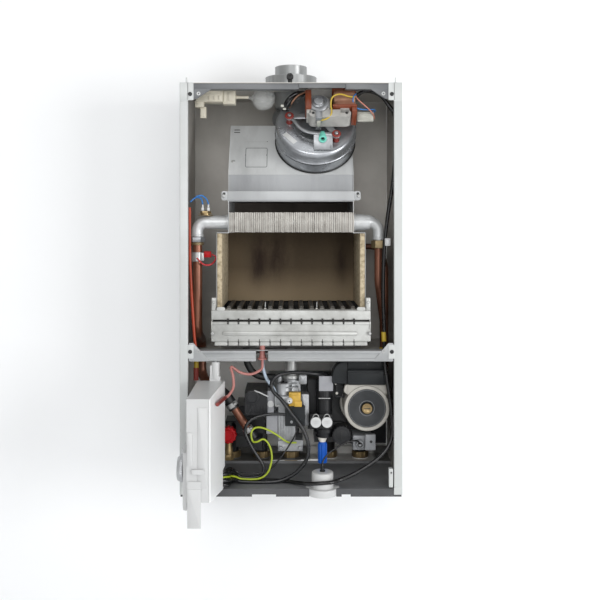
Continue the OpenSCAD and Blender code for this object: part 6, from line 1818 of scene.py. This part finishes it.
def draw_control_box():
    eased("control_case", "control_box", "white_plastic", 1.4, body="control_box", clamp=True)
    # Painted light: the cover's brighter white stands for light on its face.
    eased("control_cover", "control_box_cover", "cover_white", 0.8, body="control_box")
    far, near = -236.0, -397.0
    parts = [slab((-167, near - 1.6, 96), (-158, near + 0.5, 150), 0.8, along="y"),
        slab((-150, near - 1.2, 60), (-134, near + 0.4, 190), 0.8, along="y"),
        slab((-166.5, near - 3.4, -3), (-144.5, near - 1, 60), 0.9, along="y"),
        slab((-160, near - 4.3, 84), (-140, near - 1, 92), 1.4, along="y"),
        at(disc(3.4, 0, 3.4, 0.8, 24), facing(-141.5, near - 1, 88))]
    make("control_trim", [(parts, "white_plastic")], body="control_box")
    for name, node_name, y in (("heating_dial", "heating_knob", near + 48),
        ("water_dial", "hot_water_knob", far - 58)):
        place = leftward(-178.3, y, 79)
        a = np.linspace(0, 2 * math.pi, 144, endpoint=False)
        r = 21.6 + 0.35 * np.cos(48 * a)
        skirt = prism(np.stack([r * np.cos(a), r * np.sin(a)], 1), 0, 6, 0.6, 2)
        knob = [at(skirt, place), at(lathe([(20.6, 5.6), (20, 8.6), (18.6, 9.9), (17, 10), (15.6, 9.4),
                        (0, 9.2)], 72), place), at(disc(3, -10.8, 0.2, 0.2, 24), place)]
        mark = [at(slab((-0.9, 8, 9.3), (0.9, 19.4, 10), 0.3), place)]
        make(name, [(knob, "silver_plastic"), (mark, "black_plastic")], body=node_name, replaces=node_name)
    place = leftward(-168, -266, 102)
    button = [at(lathe([(6, -0.1), (6, 12.6), (5.4, 13.6), (4, 14), (0, 13.6)], 40), place)]
    make("reset_cap", [(button, "red_plastic")], body="reset_button", replaces="reset_button")
    eased("control_board", "circuit_board", "board_green", 0.3, body="control_box")


class BOILER_OT_control_box(bpy.types.Operator):
    """Moulded control box with its cover, knobs, button and circuit board"""
    bl_idname = "boiler.control_box"
    bl_label = "Control box"

    def execute(self, context):
        draw_control_box()
        return {"FINISHED"}


# Inside the cabinet's back

def draw_back():
    o = rect(-118, 300, 118, 620, 30, 10)
    rings = [(-1.6, 12), (-4, 4), (-9, 0.6), (-20, 0), (-23, 0), (-24, 0), (-26, 0), (-40, 0.6), (-46, 4),
        (-49, 12), (-50.3, 26)]
    pts = np.concatenate([np.column_stack([inset(o, d)[:, 0], np.full(len(o), y), inset(o, d)[:, 1]])
            for y, d in rings])
    f = quads(len(rings), len(o))
    f += [list(range(len(o)))[::-1], list(range((len(rings) - 1) * len(o), len(rings) * len(o)))]
    make("water_vessel", [((pts, f), "red_enamel")], replaces="expansion_vessel")


class BOILER_OT_back(bpy.types.Operator):
    """Red expansion vessel behind the chamber, with its crimped seam"""
    bl_idname = "boiler.back"
    bl_label = "Expansion vessel"

    def execute(self, context):
        draw_back()
        return {"FINISHED"}


# Properties, panel and registration

def paint(name, description, code):
    """A colour that a user may change, with a hex code as its default."""
    return FloatVectorProperty(name=name, description=description, subtype="COLOR", min=0, max=1,
        default=shade(code)[:3])


def length(name, description, millimetres):
    """A length that a user may change."""
    return FloatProperty(name=name, description=description, default=millimetres * MM, min=0.1 * MM,
        unit="LENGTH")


class BoilerColours(bpy.types.PropertyGroup):
    """Colours of the finishes that a user may change"""
    cabinet: paint("Cabinet", "White enamel of the side panels", "#bcbfbe")
    inner_sheet: paint("Inner sheet", "Sheet metal inside the cabinet", "#c4c1bb")
    tray: paint("Tray", "Enamel of the bottom tray", "#7b7c7e")
    pressure_switch: paint("Pressure switch", "Plastic of the air pressure switch", "#c0bbac")
    fan_housing: paint("Fan housing", "Cast metal of the fan's housing", "#b0b3b7")
    copper: paint("Copper", "Copper of the pipes", "#7a4f3d")
    brass: paint("Brass", "Brass of the tails and nuts", "#94805c")
    insulation: paint("Insulation", "Boards of the combustion chamber", "#bbad92")
    expansion_vessel: paint("Expansion vessel", "Enamel of the expansion vessel", "#8d2f27")
    water_groups: paint("Water groups", "Black plastic of the water groups", "#141517")
    relief_knob: paint("Relief knob", "Plastic of the relief valve's knob and the reset button", "#a50c14")
    filling_handle: paint("Filling handle", "Plastic of the filling handle", "#1257b8")
    control_box: paint("Control box", "Plastic of the control box", "#c1c2c2")
    # Painted light: this default is a brighter copy of the control box's plastic.
    control_cover: paint("Control cover", "Plastic of the control box's cover", "#f1f2f2")
    knobs: paint("Knobs", "Plastic of the two dials", "#b9bbbd")
    ignition_lead: paint("Ignition lead", "Silicone of the ignition lead", "#a8706a")
    earth_wire: paint("Earth wire", "Sleeve of the earth wire", "#98a824")


class BoilerSizes(bpy.types.PropertyGroup):
    """Sizes of what the scene draws itself and the frame doesn't fix"""
    sheet: length("Sheet", "Thickness of the folded cabinet sheet", 1.2)
    screw_head: length("Screw head", "Diameter of the heads on the cabinet's flanges", 7.2)
    pump_lead: length("Pump lead", "Diameter of the pump's lead", 7)
    valve_lead: length("Valve lead", "Diameter of the gas valve's lead", 6)
    sensor_lead: length("Sensor lead", "Diameter of the sensor's lead", 3)
    earth_wire: length("Earth wire", "Diameter of the earth wire", 3.5)
    fan_lead: length("Fan lead", "Diameter of the fan's lead", 7)
    ignition_lead: length("Ignition lead", "Diameter of the ignition lead", 5)
    impulse_tube: length("Impulse tube", "Diameter of the impulse tube", 6)
    capillary: length("Capillary", "Diameter of the gauge's capillary", 3)
    orange_tube: length("Orange tube", "Diameter of the orange tube", 5.5)
    sensor_wires: length("Sensor wires", "Diameter of the wires at the left elbow", 3)
    fins: IntProperty(name="Fins", description="Number of fins in the heat exchanger", default=66, min=2)


class BoilerStudio(bpy.types.PropertyGroup):
    """Camera and lamps of the stage"""
    lens: FloatProperty(name="Lens", description="Focal length of the camera in millimetres",
        default=50.16, min=20)
    distance: FloatProperty(name="Distance", description="Distance of the camera from the wall",
        default=1.74, unit="LENGTH")
    eye_height: FloatProperty(name="Eye height",
        description="Height of the camera above the cabinet's foot", default=0.484, unit="LENGTH")
    shift: FloatVectorProperty(name="Shift", description="Framing shift of the lens", size=2,
        default=(0.015, -0.125))
    key_power: FloatProperty(name="Key", description="Power of the upper left lamp", default=24,
        unit="POWER")
    fill_power: FloatProperty(name="Fill", description="Power of the wide front lamp", default=17,
        unit="POWER")
    side_power: FloatProperty(name="Side", description="Power of the right lamp", default=34, unit="POWER")
    top_power: FloatProperty(name="Top", description="Power of the lamp above", default=6, unit="POWER")
    ambient: FloatProperty(name="Ambient", description="Strength of the even light all round", default=0.36)


class BOILER_PT_panel(bpy.types.Panel):
    """Lists the steps that dress the boiler, and its colours, sizes and stage"""
    bl_label = "Boiler"
    bl_idname = "BOILER_PT_panel"
    bl_space_type = "VIEW_3D"
    bl_region_type = "UI"
    bl_category = "Boiler"

    def draw(self, context):
        for step in STEPS:
            self.layout.operator(step.bl_idname)
        for group, kind in GROUPS.items():
            for name in kind.__annotations__:
                self.layout.prop(getattr(context.scene, group), name)


STEPS = (BOILER_OT_finishes, BOILER_OT_stage, BOILER_OT_cables, BOILER_OT_cabinet, BOILER_OT_flue,
    BOILER_OT_pressure_switch, BOILER_OT_hood, BOILER_OT_fan, BOILER_OT_exchanger, BOILER_OT_pipes,
    BOILER_OT_chamber, BOILER_OT_burner, BOILER_OT_gas_valve, BOILER_OT_flow_group, BOILER_OT_return_group,
    BOILER_OT_pump, BOILER_OT_base, BOILER_OT_control_box, BOILER_OT_back)
GROUPS = {"boiler_colours": BoilerColours, "boiler_sizes": BoilerSizes, "boiler_studio": BoilerStudio}
CLASSES = (*GROUPS.values(), *STEPS, BOILER_PT_panel)


def register():
    """Registers the classes and hangs the property groups on the scene."""
    for c in CLASSES:
        bpy.utils.register_class(c)
    for name, kind in GROUPS.items():
        setattr(bpy.types.Scene, name, PointerProperty(type=kind))


def unregister():
    """Takes off what register put on."""
    for name in GROUPS:
        delattr(bpy.types.Scene, name)
    for c in reversed(CLASSES):
        bpy.utils.unregister_class(c)


def main():
    """Registers the add-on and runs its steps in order."""
    register()
    for step in STEPS:
        group, name = step.bl_idname.split(".")
        getattr(getattr(bpy.ops, group), name)()


if __name__ == "__main__":
    main()
